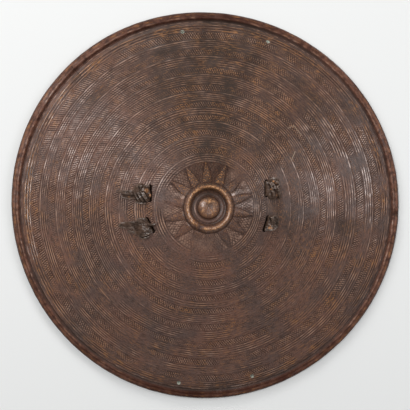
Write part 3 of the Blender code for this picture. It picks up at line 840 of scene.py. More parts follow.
def drifted(spots, radius):
    """Move the tooling off centre along the face of the cone."""
    moved = spots.copy()
    front = spots[:, 2] > cone_height(radius) - 0.004
    moved[:, 0] *= 1 - np.interp(radius, DRIFT_RADIUS, SQUEEZE_X) * front
    moved[:, 0] += np.interp(radius, DRIFT_RADIUS, DRIFT_X) * front
    moved[:, 1] += np.interp(radius, DRIFT_RADIUS, DRIFT_Y) * front
    moved[:, 2] += (cone_height(np.hypot(moved[:, 0], moved[:, 1])) - cone_height(radius)) * front
    return moved


def write_mark(mesh, mark, values, where="POINT"):
    """Store one value for each point, or for each face, of a mesh."""
    numbers = np.asarray(values, dtype=np.float32)
    mesh.attributes.new(mark, "FLOAT", where).data.foreach_set("value", numbers)


def build_hide():
    """The whole hide as one closed mesh, before the slots and holes are cut."""
    chance = np.random.default_rng(TOOLING_SEED)
    hide = Rings()
    add_boss(hide)
    add_petals(hide)
    add_bands(hide, chance)
    add_margin(hide)
    add_rim(hide)
    add_back(hide)
    hide.close(knob_top - 0.0006, first=True, crest=0.8, tan=0.3)
    spots = np.concatenate(hide.points)
    radius = np.hypot(spots[:, 0], spots[:, 1])
    # Soot and grease in patches, and painted shade at the top, the sides and the lower rim, kept as a
    # mark.
    soot_and_shade = soot_and_shade_share(np.arctan2(spots[:, 1], spots[:, 0]), radius)
    spots = drifted(spots, radius)
    radius = np.hypot(spots[:, 0], spots[:, 1])
    free = soft_step(radius, 0.050, 0.110) * (1 - soft_step(radius, 0.300, 0.312))
    outward = 0.00055 * cloud(spots, 0.040, 51) + 0.00018 * cloud(spots, 0.012, 52)
    sink = 0.0007 * cloud(spots, 0.070, 53) + 0.00022 * cloud(spots, 0.018, 54)
    direction = spots[:, :2] / np.maximum(radius, 1e-9)[:, None]
    spots[:, :2] += direction * (outward * free)[:, None]
    spots[:, 2] += sink * free
    spots = out_of_round(spots)
    mesh = bpy.data.meshes.new("tooled_hide")
    mesh.from_pydata(spots.tolist(), [], hide.faces)
    for mark in MARKS:
        write_mark(mesh, mark, np.concatenate(hide.marks[mark]))
    write_mark(mesh, "soot_and_shade", soot_and_shade)
    write_mark(mesh, "strokes", hide.strokes, "FACE")
    mesh.validate()
    mesh.shade_smooth()
    return mesh


hide_piece = bpy.data.objects.new("hide", build_hide())
bpy.context.scene.collection.objects.link(hide_piece)
triangles = sum(len(face.vertices) - 2 for face in hide_piece.data.polygons)
print("hide before cutting:", len(hide_piece.data.vertices), "points,", triangles, "triangles")

# %% [markdown]
# ## Slots and pierced holes
#
# The straps come through four slots, and four small holes are pierced by the rim. Both are cut
# with a Boolean. A slot's cutter is a narrow block whose upright edges are rounded. A slot is
# given by its side, its place up or down the shield and its lean, and a hole by its direction,
# its distance from the edge of the field and its number of sides.

# %% Tools for cutting
SLOT_REACH = 0.0960
SLOT_WIDTH = 0.0066
SLOT_LENGTH = 0.0290
SLOT_CORNER = 0.0031
SLOT_CUT_DEPTH = 0.034
SLOTS = {
    "upper_left": (-1, 0.0235, 0.0),
    "upper_right": (1, 0.0310, 0.0),
    "lower_left": (-1, -0.0290, math.radians(28)),
    "lower_right": (1, -0.0270, math.radians(-17)),
}
RIM_HOLES = {
    "top_left": (97.7, 0.0168, 8),
    "top_right": (69.3, 0.0151, 10),
    "bottom_left": (261.3, 0.0089, 10),
    "bottom_right": (285.2, 0.0130, 10),
}


def cutter_piece(name):
    """Name the new primitive and keep it out of sight until it has cut."""
    piece = bpy.context.object
    piece.name = name
    piece.hide_render = True
    return piece


def slot_block(place, lean):
    """A block as long and wide as a slot, with its upright edges rounded."""
    bpy.ops.mesh.primitive_cube_add(size=1, location=place, rotation=(0, 0, lean),
                                    scale=(SLOT_WIDTH, SLOT_LENGTH, SLOT_CUT_DEPTH))
    bpy.ops.object.transform_apply(location=False, rotation=False, scale=True)
    block = bpy.context.object.data
    bpy.ops.object.mode_set(mode="EDIT")
    bpy.ops.mesh.select_mode(type="EDGE")
    bpy.ops.mesh.select_all(action="DESELECT")
    edit = bmesh.from_edit_mesh(block)
    for edge in edit.edges:
        edge.select_set(abs(edge.verts[0].co.z - edge.verts[1].co.z) > 0.01)
    bmesh.update_edit_mesh(block)
    bpy.ops.mesh.bevel(offset=SLOT_CORNER, segments=4)
    bpy.ops.mesh.select_mode(type="VERT")
    bpy.ops.object.mode_set(mode="OBJECT")
    print("slot block:", len(block.vertices), "points")


def cut_away(target, cutter):
    """Take a cutter's form out of a piece."""
    bpy.ops.object.select_all(action="DESELECT")
    bpy.context.view_layer.objects.active = target
    target.select_set(True)
    cut = target.modifiers.new(cutter.name, "BOOLEAN")
    cut.operation = "DIFFERENCE"
    cut.solver = "EXACT"
    cut.object = cutter
    cut.material_mode = "TRANSFER"
    bpy.ops.object.modifier_apply(modifier=cut.name)
    bpy.data.objects.remove(cutter, do_unlink=True)


print("slots:", ", ".join(SLOTS), "and holes:", ", ".join(RIM_HOLES))

# %% [markdown]
# ## Helpers for the finishes
#
# Every finish here is made of nodes. The helpers below only save typing: one adds a node, one
# mixes two colours, two do sums with numbers or vectors, and one stretches a range of values. A
# group collects nodes that belong together.

# %% Node helpers
FLAT = (1.0, 1.0, 0.0)


def add_node(tree, kind, **settings):
    """Add a node and set its own settings."""
    node = tree.nodes.new(kind)
    for name, value in settings.items():
        setattr(node, name, value)
    return node


def feed(tree, socket, value):
    """Link a socket to another one, or set it to a plain value."""
    if isinstance(value, bpy.types.NodeSocket):
        tree.links.new(value, socket)
    elif isinstance(value, tuple) and len(value) == 3 and socket.type == "RGBA":
        socket.default_value = (*value, 1.0)
    else:
        socket.default_value = value


def sums(tree, operation, one, two=0.0, three=0.0, clamp=False):
    """A Math node."""
    node = add_node(tree, "ShaderNodeMath", operation=operation, use_clamp=clamp)
    for socket, value in zip(node.inputs, (one, two, three)):
        feed(tree, socket, value)
    return node.outputs[0]


def vectors(tree, operation, *values, scale=None):
    """A Vector Math node."""
    node = add_node(tree, "ShaderNodeVectorMath", operation=operation)
    for socket, value in zip(node.inputs, values):
        feed(tree, socket, value)
    if scale is not None:
        feed(tree, node.inputs["Scale"], scale)
    return node.outputs["Value" if operation in ("DOT_PRODUCT", "LENGTH") else "Vector"]


def stretch(tree, value, low, high, to_low=0.0, to_high=1.0):
    """Map a range of values smoothly to another one, and keep it inside."""
    node = add_node(tree, "ShaderNodeMapRange", interpolation_type="SMOOTHSTEP")
    for socket, number in zip(node.inputs[:5], (value, low, high, to_low, to_high)):
        feed(tree, socket, number)
    return node.outputs["Result"]


def blend_colours(tree, share, one, two):
    """Mix two colours by a share from 0 to 1."""
    node = add_node(tree, "ShaderNodeMix", data_type="RGBA")
    feed(tree, node.inputs["Factor"], share)
    feed(tree, node.inputs["A"], one)
    feed(tree, node.inputs["B"], two)
    return node.outputs["Result"]


def soft_noise(tree, place, scale, detail=3.0, roughness=0.55):
    """A Noise Texture's value."""
    node = add_node(tree, "ShaderNodeTexNoise")
    feed(tree, node.inputs["Vector"], place)
    feed(tree, node.inputs["Scale"], scale)
    feed(tree, node.inputs["Detail"], detail)
    feed(tree, node.inputs["Roughness"], roughness)
    return node.outputs["Fac"]


def mark_value(tree, name):
    """One of the marks that the mesh carries."""
    return add_node(tree, "ShaderNodeAttribute", attribute_name=name).outputs["Fac"]


def from_axis(tree, place):
    """Distance of the shaded point from the shield's axis."""
    return vectors(tree, "LENGTH", vectors(tree, "MULTIPLY", place, FLAT))


def round_the_axis(tree, place, turns, steps):
    """Coordinates that run round the axis and outwards, for streaks that follow the rings."""
    around = vectors(tree, "NORMALIZE", vectors(tree, "MULTIPLY", place, FLAT))
    outwards = add_node(tree, "ShaderNodeCombineXYZ")
    feed(tree, outwards.inputs["Z"], sums(tree, "MULTIPLY", from_axis(tree, place), steps))
    return vectors(tree, "MULTIPLY_ADD", around, (turns, turns, 0.0), outwards.outputs[0])


def new_group(name, inputs, outputs):
    """An empty shader node group with named sockets, each given as (name, kind, value)."""
    group = bpy.data.node_groups.new(name, "ShaderNodeTree")
    for title, kind, value in inputs:
        socket = group.interface.new_socket(title, in_out="INPUT", socket_type=kind)
        if value is not None:
            socket.default_value = value
    for title, kind in outputs:
        group.interface.new_socket(title, in_out="OUTPUT", socket_type=kind)
    return group, group.nodes.new("NodeGroupInput"), group.nodes.new("NodeGroupOutput")


def use_group(tree, group, **values):
    """Place a group in a material and feed its inputs."""
    node = add_node(tree, "ShaderNodeGroup", node_tree=group)
    for name, value in values.items():
        feed(tree, node.inputs[name], value)
    return node


FLOAT = "NodeSocketFloat"
VECTOR = "NodeSocketVector"

# %% [markdown]
# ## Grain and wear, shared by hide and straps
#
# Hide has a pebbled grain with fine creases between the pebbles, and blotches where fat and
# smoke went in unevenly. Anything that stands up gets rubbed. These two effects are groups, and
# the hide and the straps use them with their own values. The last two groups are for the hide
# alone: one winds the crossing strokes round the axis as spirals, and one draws a thin mark
# between two points, for the scratches and the crack.

# %% Groups of nodes
def grain_group():
    """Pebbled grain height, large blotches and fine specks."""
    group, start, end = new_group(
        "hide_grain",
        [("Place", VECTOR, None), ("Pebble Scale", FLOAT, 900.0), ("Blotch Scale", FLOAT, 14.0)],
        [("Height", FLOAT), ("Blotches", FLOAT), ("Specks", FLOAT)],
    )
    place = start.outputs["Place"]
    pebbles = add_node(group, "ShaderNodeTexVoronoi", feature="DISTANCE_TO_EDGE")
    feed(group, pebbles.inputs["Vector"], place)
    feed(group, pebbles.inputs["Scale"], start.outputs["Pebble Scale"])
    creases = stretch(group, pebbles.outputs["Distance"], 0.0, 0.35)
    rough = soft_noise(group, place, 1400.0, 2.0)
    height = sums(group, "MULTIPLY_ADD", rough, 0.5, sums(group, "MULTIPLY", creases, 0.6))
    blotches = soft_noise(group, place, start.outputs["Blotch Scale"], 5.0, 0.6)
    specks = soft_noise(group, place, 420.0, 3.0, 0.7)
    feed(group, end.inputs["Height"], height)
    feed(group, end.inputs["Blotches"], stretch(group, blotches, 0.34, 0.66))
    feed(group, end.inputs["Specks"], stretch(group, specks, 0.35, 0.65))
    return group


def wear_group():
    """How much of a raised edge is rubbed, broken up by soft noise."""
    group, start, end = new_group(
        "rubbed_edges",
        [("Place", VECTOR, None), ("Raised", FLOAT, 0.0), ("Amount", FLOAT, 0.5)],
        [("Rubbed", FLOAT)],
    )
    broken = soft_noise(group, start.outputs["Place"], 55.0, 4.0, 0.65)
    share = stretch(group, broken, 0.32, 0.62)
    strength = sums(group, "MULTIPLY", start.outputs["Raised"], start.outputs["Amount"])
    patchy = sums(group, "MULTIPLY_ADD", share, 0.85, 0.15)
    rubbed = sums(group, "MULTIPLY", strength, patchy, clamp=True)
    feed(group, end.inputs["Rubbed"], rubbed)
    return group


def strokes_group():
    """Dents of the strokes that lean the other way, from the place round the axis."""
    group, start, end = new_group(
        "crossing_strokes",
        [("Place", VECTOR, None), ("Count", FLOAT, PLAIN_STROKES), ("Lean", FLOAT, 0.58),
         ("Width", FLOAT, 0.62)],
        [("Dent", FLOAT)],
    )
    place, count = start.outputs["Place"], start.outputs["Count"]
    parts = add_node(group, "ShaderNodeSeparateXYZ")
    feed(group, parts.inputs[0], place)
    angle = sums(group, "ARCTAN2", parts.outputs["Y"], parts.outputs["X"])
    spiral = sums(group, "LOGARITHM", from_axis(group, place), math.e)
    turned = sums(group, "MULTIPLY_ADD", spiral, start.outputs["Lean"], angle)
    drift = soft_noise(group, place, 70.0, 2.0)
    wobble = sums(group, "MULTIPLY", drift, sums(group, "MULTIPLY", count, 0.004))
    phase = sums(group, "MULTIPLY_ADD", turned, sums(group, "DIVIDE", count, FULL_TURN), wobble)
    apart = sums(group, "ABSOLUTE", sums(group, "SUBTRACT", sums(group, "FRACT", phase), 0.5))
    edge = sums(group, "MULTIPLY_ADD", start.outputs["Width"], -0.5, 0.5)
    dent = stretch(group, apart, edge, 0.5)
    strength = stretch(group, soft_noise(group, place, 150.0, 2.0), 0.32, 0.56, 0.35, 1.0)
    feed(group, end.inputs["Dent"], sums(group, "MULTIPLY", dent, strength))
    return group


def scratch_group():
    """A thin mark from one point to another, seen from above."""
    group, start, end = new_group(
        "scratch",
        [("Place", VECTOR, None), ("From", VECTOR, None), ("To", VECTOR, None),
         ("Width", FLOAT, 0.001)],
        [("Mark", FLOAT)],
    )
    flat = vectors(group, "MULTIPLY", start.outputs["Place"], FLAT)
    away = vectors(group, "SUBTRACT", flat, start.outputs["From"])
    along = vectors(group, "SUBTRACT", start.outputs["To"], start.outputs["From"])
    share = sums(group, "DIVIDE", vectors(group, "DOT_PRODUCT", away, along),
                 vectors(group, "DOT_PRODUCT", along, along), clamp=True)
    nearest = vectors(group, "SCALE", along, scale=share)
    gap = vectors(group, "LENGTH", vectors(group, "SUBTRACT", away, nearest))
    ragged = sums(group, "MULTIPLY", soft_noise(group, start.outputs["Place"], 500.0, 2.0), 1.6)
    width = sums(group, "MULTIPLY", start.outputs["Width"], ragged)
    feed(group, end.inputs["Mark"], stretch(group, sums(group, "DIVIDE", gap, width), 1.0, 0.3))
    return group


GRAIN = grain_group()
WEAR = wear_group()
STROKES = strokes_group()
SCRATCH = scratch_group()
print("node groups:", GRAIN.name, WEAR.name, STROKES.name, SCRATCH.name)

# %% [markdown]
# ## Finish of the hide
#
# Dark brown hide, almost black in the dents and greyer where it is rubbed. The same near-black is
# painted as shade in the rim's groove, under the rim and in the boss's sunk floor, and a soot tone
# darkens some patches and is painted as shade at the top, at the sides and on the lower rim. Some
# pale rubbed places round the boss are painted highlights and sheen. Orange-brown dirt shows in
# some dents, the rolled rim is redder, and the crest of the boss and its knob are bare tan hide.
# The marks on the mesh say where, and noise breaks every edge.

# %% Hide finish
HIDE_DARK = (0.086, 0.053, 0.044)
HIDE_BROWN = (0.160, 0.077, 0.053)
# Soot tone, which also paints shade at the top and at the sides.
HIDE_SOOT_AND_SHADE = (0.034, 0.022, 0.017)
HIDE_GREY = (0.205, 0.160, 0.148)
RUBBED_BROWN = (0.430, 0.272, 0.200)
RUBBED_ORANGE = (0.430, 0.190, 0.075)
SCRAPED = (0.300, 0.220, 0.160)
# Near-black and dark red of the dents, which also paint shade in the rim's groove, under the rim and in
# the boss's sunk floor.
DENT_AND_SHADE_DARK = (0.022, 0.012, 0.009)
DENT_AND_SHADE_RED = (0.060, 0.026, 0.016)
DIRT_ORANGE = (0.310, 0.142, 0.052)
RIM_DARK = (0.064, 0.029, 0.021)
RIM_RED = (0.190, 0.086, 0.056)
# The rim's soot tone, which also paints shade on the lower rim.
RIM_SOOT_AND_SHADE = (0.036, 0.011, 0.007)
SCRATCHES = (
    ((0.1403, 0.0786), (0.1462, 0.0921), 0.0016),
    ((0.1349, 0.1313), (0.1450, 0.1355), 0.0014),
    ((0.1450, 0.1355), (0.1583, 0.1196), 0.0013),
)
CRACK = ((-0.2120, 0.2195), (-0.2290, 0.2370), 0.0013)
TAN = (0.490, 0.262, 0.128)
TAN_DEEP = (0.140, 0.057, 0.024)
# Raw hide, lightened and tinted as painted light that shows through the holes.
RAW_HIDE_AND_HOLE_LIGHT = (0.400, 0.415, 0.350)
RAW_HIDE_AND_HOLE_LIGHT_DARK = (0.250, 0.265, 0.215)


def new_finish(name):
    """A material with its node tree, its Principled BSDF and the Object coordinates."""
    finish = bpy.data.materials.new(name)
    finish.use_nodes = True
    tree = finish.node_tree
    place = add_node(tree, "ShaderNodeTexCoord").outputs["Object"]
    return finish, tree, tree.nodes["Principled BSDF"], place


def bumped(tree, height, distance, strength=1.0):
    """A Bump node's normal."""
    bump = add_node(tree, "ShaderNodeBump")
    bump.inputs["Strength"].default_value = strength
    bump.inputs["Distance"].default_value = distance
    feed(tree, bump.inputs["Height"], height)
    return bump.outputs["Normal"]


def hide_finish():
    """The tooled hide."""
    finish, tree, shader, place = new_finish("tooled_hide")
    grain = use_group(tree, GRAIN, Place=place, **{"Pebble Scale": 900.0, "Blotch Scale": 16.0})
    names = ("groove", "crest", "tan", "stain", "strokes", "crossed")
    groove, crest, tan, stain, count, crossed = (mark_value(tree, name) for name in names)
    cross = use_group(tree, STROKES, Place=place, Count=count)
    back = use_group(tree, STROKES, Place=place, Count=count, Lean=-0.58)
    net = sums(tree, "MULTIPLY", back.outputs["Dent"], sums(tree, "LESS_THAN", count, 150.0))
    dent = sums(tree, "MULTIPLY", sums(tree, "MAXIMUM", cross.outputs["Dent"], net), crossed)
    wear = use_group(tree, WEAR, Place=place, Raised=stretch(tree, crest, 0.25, 0.95), Amount=1.1)
    specks, blotches = grain.outputs["Specks"], grain.outputs["Blotches"]
    radius = from_axis(tree, place)
    streaks = soft_noise(tree, round_the_axis(tree, place, 26.0, 620.0), 1.0, 3.0, 0.65)
    colour = blend_colours(tree, blotches, HIDE_DARK, HIDE_BROWN)
    colour = blend_colours(tree, sums(tree, "MULTIPLY", specks, 0.22), colour, HIDE_GREY)
    colour = blend_colours(tree, stretch(tree, streaks, 0.50, 0.34, 0.0, 0.6), colour, HIDE_SOOT_AND_SHADE)
    rim = stretch(tree, radius, 0.3150, 0.3185)
    mottled = stretch(tree, soft_noise(tree, place, 110.0, 5.0, 0.75), 0.38, 0.62)
    colour = blend_colours(tree, rim, colour, blend_colours(tree, mottled, RIM_DARK, RIM_RED))
    # Soot and grease in patches, and painted shade at the top, the sides and the lower rim.
    soot_and_shade = mark_value(tree, "soot_and_shade")
    soot_and_shade_tone = blend_colours(tree, rim, HIDE_SOOT_AND_SHADE, RIM_SOOT_AND_SHADE)
    colour = blend_colours(tree, soot_and_shade, colour, soot_and_shade_tone)
    pale = sums(tree, "MULTIPLY", wear.outputs["Rubbed"],
                sums(tree, "MULTIPLY_ADD", dent, -1.0, 1.0, clamp=True))
    pale = sums(tree, "MULTIPLY", pale, stretch(tree, streaks, 0.36, 0.56, 0.45, 1.0))
    pale = sums(tree, "MULTIPLY", pale, sums(tree, "MULTIPLY_ADD", rim, -0.5, 1.0))
    bright = sums(tree, "MULTIPLY", pale, sums(tree, "MULTIPLY_ADD", soot_and_shade, -0.45, 0.90), clamp=True)
    warm = sums(tree, "MULTIPLY_ADD", stain, 2.2, sums(tree, "MULTIPLY", rim, 0.12), clamp=True)
    colour = blend_colours(tree, bright, colour, blend_colours(tree, warm, RUBBED_BROWN, RUBBED_ORANGE))
    # Dents, and the painted shade that the groove mark carries, take the near-black.
    sharp = sums(tree, "MAXIMUM", stretch(tree, groove, 0.25, 0.90), sums(tree, "MULTIPLY", dent, 0.85))
    broken = stretch(tree, soft_noise(tree, place, 300.0, 3.0, 0.7), 0.38, 0.60)
    deep = blend_colours(tree, broken, DENT_AND_SHADE_DARK, DENT_AND_SHADE_RED)
    colour = blend_colours(tree, sums(tree, "MULTIPLY", sharp, 0.92), colour, deep)
    crumbs = stretch(tree, streaks, 0.52, 0.64)
    dirt = sums(tree, "MULTIPLY", stain, sums(tree, "MULTIPLY_ADD", crumbs, 1.8, 0.05), clamp=True)
    colour = blend_colours(tree, dirt, colour, DIRT_ORANGE)
    for index, (first, last, width) in enumerate((CRACK, *SCRATCHES)):
        mark = use_group(tree, SCRATCH, Place=place, From=(*first, 0.0), To=(*last, 0.0), Width=width)
        share = sums(tree, "MULTIPLY", mark.outputs["Mark"], 0.7)
        colour = blend_colours(tree, share, colour, SCRAPED if index else DENT_AND_SHADE_DARK)
    flecks = stretch(tree, soft_noise(tree, place, 330.0, 4.0, 0.7), 0.40, 0.62)
    bare = blend_colours(tree, flecks, TAN_DEEP, TAN)
    colour = blend_colours(tree, stretch(tree, tan, 0.10, 0.85), colour, bare)
    feed(tree, shader.inputs["Base Color"], colour)
    rough = sums(tree, "MULTIPLY_ADD", blotches, -0.10, 0.42)
    rough = sums(tree, "MULTIPLY_ADD", pale, -0.12, rough)
    rough = sums(tree, "MULTIPLY_ADD", sharp, 0.25, rough)
    rough = sums(tree, "MULTIPLY_ADD", tan, 0.15, rough, clamp=True)
    feed(tree, shader.inputs["Roughness"], rough)
    greasy = stretch(tree, soft_noise(tree, place, 24.0, 3.0), 0.36, 0.60, 0.35, 1.0)
    glossy = sums(tree, "MULTIPLY_ADD", sums(tree, "MULTIPLY", pale, pale), 1.3, 0.09)
    glossy = sums(tree, "MULTIPLY", glossy, sums(tree, "MULTIPLY_ADD", crossed, -0.5, 1.0))
    glossy = sums(tree, "MULTIPLY", glossy, sums(tree, "MULTIPLY_ADD", tan, -0.9, 1.0, clamp=True))
    greasy = sums(tree, "MULTIPLY", greasy, glossy, clamp=True)
    greasy = sums(tree, "MULTIPLY", greasy, sums(tree, "MULTIPLY_ADD", soot_and_shade, -1.2, 1.0, clamp=True))
    feed(tree, shader.inputs["Coat Weight"], greasy)
    shader.inputs["Coat Roughness"].default_value = 0.19
    shader.inputs["Coat IOR"].default_value = 2.3
    feed(tree, shader.inputs["Specular IOR Level"], sums(tree, "MULTIPLY_ADD", rim, -0.06, 0.13))
    pebbles = sums(tree, "MULTIPLY", grain.outputs["Height"], 0.8)
    height = sums(tree, "MULTIPLY_ADD", dent, -2.6, pebbles)
    feed(tree, shader.inputs["Normal"], bumped(tree, height, 0.00028))
    return finish


def raw_hide_and_hole_light_finish():
    """Raw hide in the walls of the pierced holes, painted pale and greenish as the light that shows
    through them.
    """
    finish, tree, shader, place = new_finish("raw_hide_and_hole_light_core")
    fibres = soft_noise(tree, place, 700.0, 3.0, 0.7)
    feed(tree, shader.inputs["Base Color"], blend_colours(tree, fibres, RAW_HIDE_AND_HOLE_LIGHT_DARK, RAW_HIDE_AND_HOLE_LIGHT))
    shader.inputs["Roughness"].default_value = 0.8
    feed(tree, shader.inputs["Normal"], bumped(tree, fibres, 0.0003))
    return finish


hide_piece.data.materials.append(hide_finish())
print("finish of the hide:", hide_piece.data.materials[0].name)

# %% [markdown]
# ## Cutting the slots and holes
#
# The walls of the slots keep the finish of the hide. The holes narrow towards the back, as an awl
# leaves them, and their walls show the raw hide inside, painted pale and greenish as the light
# that shows through a pierced hole, so the awl brings that finish along.

# %% Cut the hide
HOLE_TOP = 0.0038
HOLE_BOTTOM = 0.0009
HOLE_MOUTH = 0.0030
raw_hide_and_hole_light = raw_hide_and_hole_light_finish()

for slot_name, (side, y, lean) in SLOTS.items():
    radius = math.hypot(SLOT_REACH, y)
    slot_block((side * SLOT_REACH, y, cone_height(radius)), lean)
    cutter = cutter_piece(slot_name + "_slot")
    cutter.data.materials.append(hide_piece.data.materials[0])
    cut_away(hide_piece, cutter)
for hole_name, (degrees, inset, sides) in RIM_HOLES.items():
    radius = FIELD_RADIUS - inset
    angle = math.radians(degrees)
    place = out_of_round(np.array([[radius * math.cos(angle), radius * math.sin(angle), 0.0]]))[0]
    tilt = math.atan(-cone_slope(radius))
    up = Vector((math.sin(tilt) * math.cos(angle), math.sin(tilt) * math.sin(angle), math.cos(tilt)))
    for bottom, top, depth, drop in ((HOLE_BOTTOM, HOLE_TOP, HOLE_MOUTH, HOLE_MOUTH / 2 - 0.0006),
                                     (HOLE_BOTTOM, HOLE_BOTTOM, 0.020, 0.004)):
        bpy.ops.mesh.primitive_cone_add(vertices=sides, radius1=bottom, radius2=top, depth=depth,
                                        location=Vector((*place[:2], cone_height(radius))) - up * drop,
                                        rotation=(0, tilt, angle))
        cutter = cutter_piece(hole_name + "_awl")
        cutter.data.materials.append(raw_hide_and_hole_light)
        cut_away(hide_piece, cutter)
triangles = sum(len(face.vertices) - 2 for face in hide_piece.data.polygons)
print("hide after cutting:", triangles, "triangles,", len(hide_piece.data.materials), "finishes")

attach(hide_piece, "root")
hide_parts("hide_shield")

# %% [markdown]
# ## Tools for the straps
#
# A strap is modelled as it runs: a small block with bevelled edges is the start, and its end face
# is extruded again and again, each time moved, turned and resized to the next station. Stations
# on the front are given in millimetres on the face of the shield and above the hide.

# %% Strap tools
STRAP_CHAMFER = 0.0010
SPAN_STEPS = 4


def spot(x, y, lift):
    """A point over the front of the hide, from millimetres on its face and above it."""
    x, y = x / 1000, y / 1000
    radius = math.hypot(x, y)
    slope = cone_slope(radius)
    up = Vector((-slope * x / radius, -slope * y / radius, 1)).normalized()
    return Vector((x, y, cone_height(radius))) + up * lift / 1000


def front(*places):
    """Stations on the front, each given as (x, y, lift, lean, width, thickness)."""
    return [(spot(x, y, lift), lean, width / 1000, thick / 1000)
            for x, y, lift, lean, width, thick in places]


def curve_value(before, here, after, beyond, t):
    """Value at t between two stations, on a smooth curve through all four."""
    return 0.5 * (2 * here + (after - before) * t
                  + (2 * before - 5 * here + 4 * after - beyond) * t * t
                  + (3 * here - before - 3 * after + beyond) * t * t * t)


def smooth_stations(stations):
    """More stations, on a smooth curve through the given ones."""
    last = len(stations) - 1
    smooth = []
    for i in range(last):
        four = [stations[min(max(j, 0), last)] for j in range(i - 1, i + 3)]
        for step in range(SPAN_STEPS):
            smooth.append([curve_value(*values, step / SPAN_STEPS) for values in zip(*four)])
    smooth.append(list(stations[last]))
    return smooth


def station_place(stations, i):
    """Placement and size of the strap's end face at one station."""
    point, lean, width, thickness = stations[i]
    ahead = stations[min(i + 1, len(stations) - 1)][0] - stations[max(i - 1, 0)][0]
    ahead.normalize()
    lean = math.radians(lean)
    across = Vector((-math.sin(lean), math.cos(lean), 0))
    across = (across - ahead * across.dot(ahead)).normalized()
    turn = Matrix((across, ahead.cross(across), ahead)).transposed().to_4x4()
    return Matrix.Translation(point) @ turn @ Matrix.Diagonal((width, thickness, 1, 1))


def strap_run(stations):
    """Extrude a bevelled block from station to station along a strap."""
    stations = smooth_stations(stations)
    start = station_place(stations, 0)
    width, thickness = stations[0][2:]
    bpy.ops.mesh.primitive_cube_add(size=1, scale=(width, thickness, 0.001))
    piece = bpy.context.object
    bpy.ops.object.transform_apply(location=False, rotation=False, scale=True)
    bpy.ops.object.mode_set(mode="EDIT")
    edit = bmesh.from_edit_mesh(piece.data)
    for edge in edit.edges:
        edge.select = abs(edge.verts[0].co.z - edge.verts[1].co.z) > 0.0005
    bpy.ops.mesh.bevel(offset=min(STRAP_CHAMFER, thickness * 0.3), segments=1)
    edit = bmesh.from_edit_mesh(piece.data)
    edit.faces.ensure_lookup_table()
    tip = max(edit.faces, key=lambda face: face.calc_center_median().z)
    for face in edit.faces:
        face.select_set(False)
    tip.select_set(True)
    bmesh.update_edit_mesh(piece.data)
    before = Matrix.Translation((0, 0, 0.0005)) @ Matrix.Diagonal((width, thickness, 1, 1))
    for vertex in edit.verts:
        if not vertex.select:
            vertex.co = start @ before.inverted() @ (vertex.co + Vector((0, 0, 0.001)))
    for i in range(1, len(stations)):
        if i > 1:
            bpy.ops.mesh.extrude_region_move(TRANSFORM_OT_translate={"value": (0, 0, 0)})
        edit = bmesh.from_edit_mesh(piece.data)
        after = station_place(stations, i)
        change = after @ before.inverted()
        for vertex in edit.verts:
            if vertex.select:
                vertex.co = change @ vertex.co
        before = after
    bmesh.update_edit_mesh(piece.data)
    bpy.ops.mesh.select_all(action="SELECT")
    bpy.ops.mesh.normals_make_consistent(inside=False)
    bpy.ops.object.mode_set(mode="OBJECT")
    return piece


def cushion(x, y, lift, half_sizes):
    """A flattened ball under a knot, which keeps it closed."""
    middle = spot(x, y, lift)
    sizes = tuple(half / 1000 for half in half_sizes)
    bpy.ops.mesh.primitive_uv_sphere_add(segments=32, ring_count=16, radius=1, location=middle,
                                         scale=sizes)
    piece = bpy.context.object
    bpy.ops.object.transform_apply(location=True, rotation=True, scale=True)
    return piece


# %% [markdown]
# ## Where the straps run
#
# Behind the hide each strap is drawn together into half of the grip, with 52 mm of room for the
# hand between it and the hollow of the boss. The upper strap is knotted on both sides, with folds
# that lie slanting over each other, and its left end sticks out as a tail of two plies. The lower
# strap is folded flat on the left, where it narrows to a tail, and on the right it is torn short.

# %% Strap runs
GRIP_HEIGHT = 0.0534
GRIP_MIDDLE = 0.0086
GRIP_HALF_LENGTH = 0.040


def behind(left, right, side):
    """Stations from the left slot's back, through the grip, to the right slot's back."""
    runs = []
    for x, y, lean in (left, right):
        out = 1 if x > 0 else -1
        back = back_height(math.hypot(x, y))
        y_grip = side * (GRIP_MIDDLE + 0.0025)
        runs.append([
            (Vector((x, y, back - 0.002)), lean, 0.026, 0.0038),
            (Vector((x - out * 0.004, y, back - 0.012)), lean / 2, 0.026, 0.0040),
            (Vector(((x + out * GRIP_HALF_LENGTH) / 2, (y + y_grip) / 2, (back + GRIP_HEIGHT) / 2)),
             0.0, 0.021, 0.0060),
            (Vector((out * GRIP_HALF_LENGTH, y_grip, GRIP_HEIGHT)), 0.0, 0.016, 0.0078),
        ])
    middle = (Vector((0, side * GRIP_MIDDLE, GRIP_HEIGHT)), 0.0, 0.016, 0.0080)
    return runs[0] + [middle] + list(reversed(runs[1]))


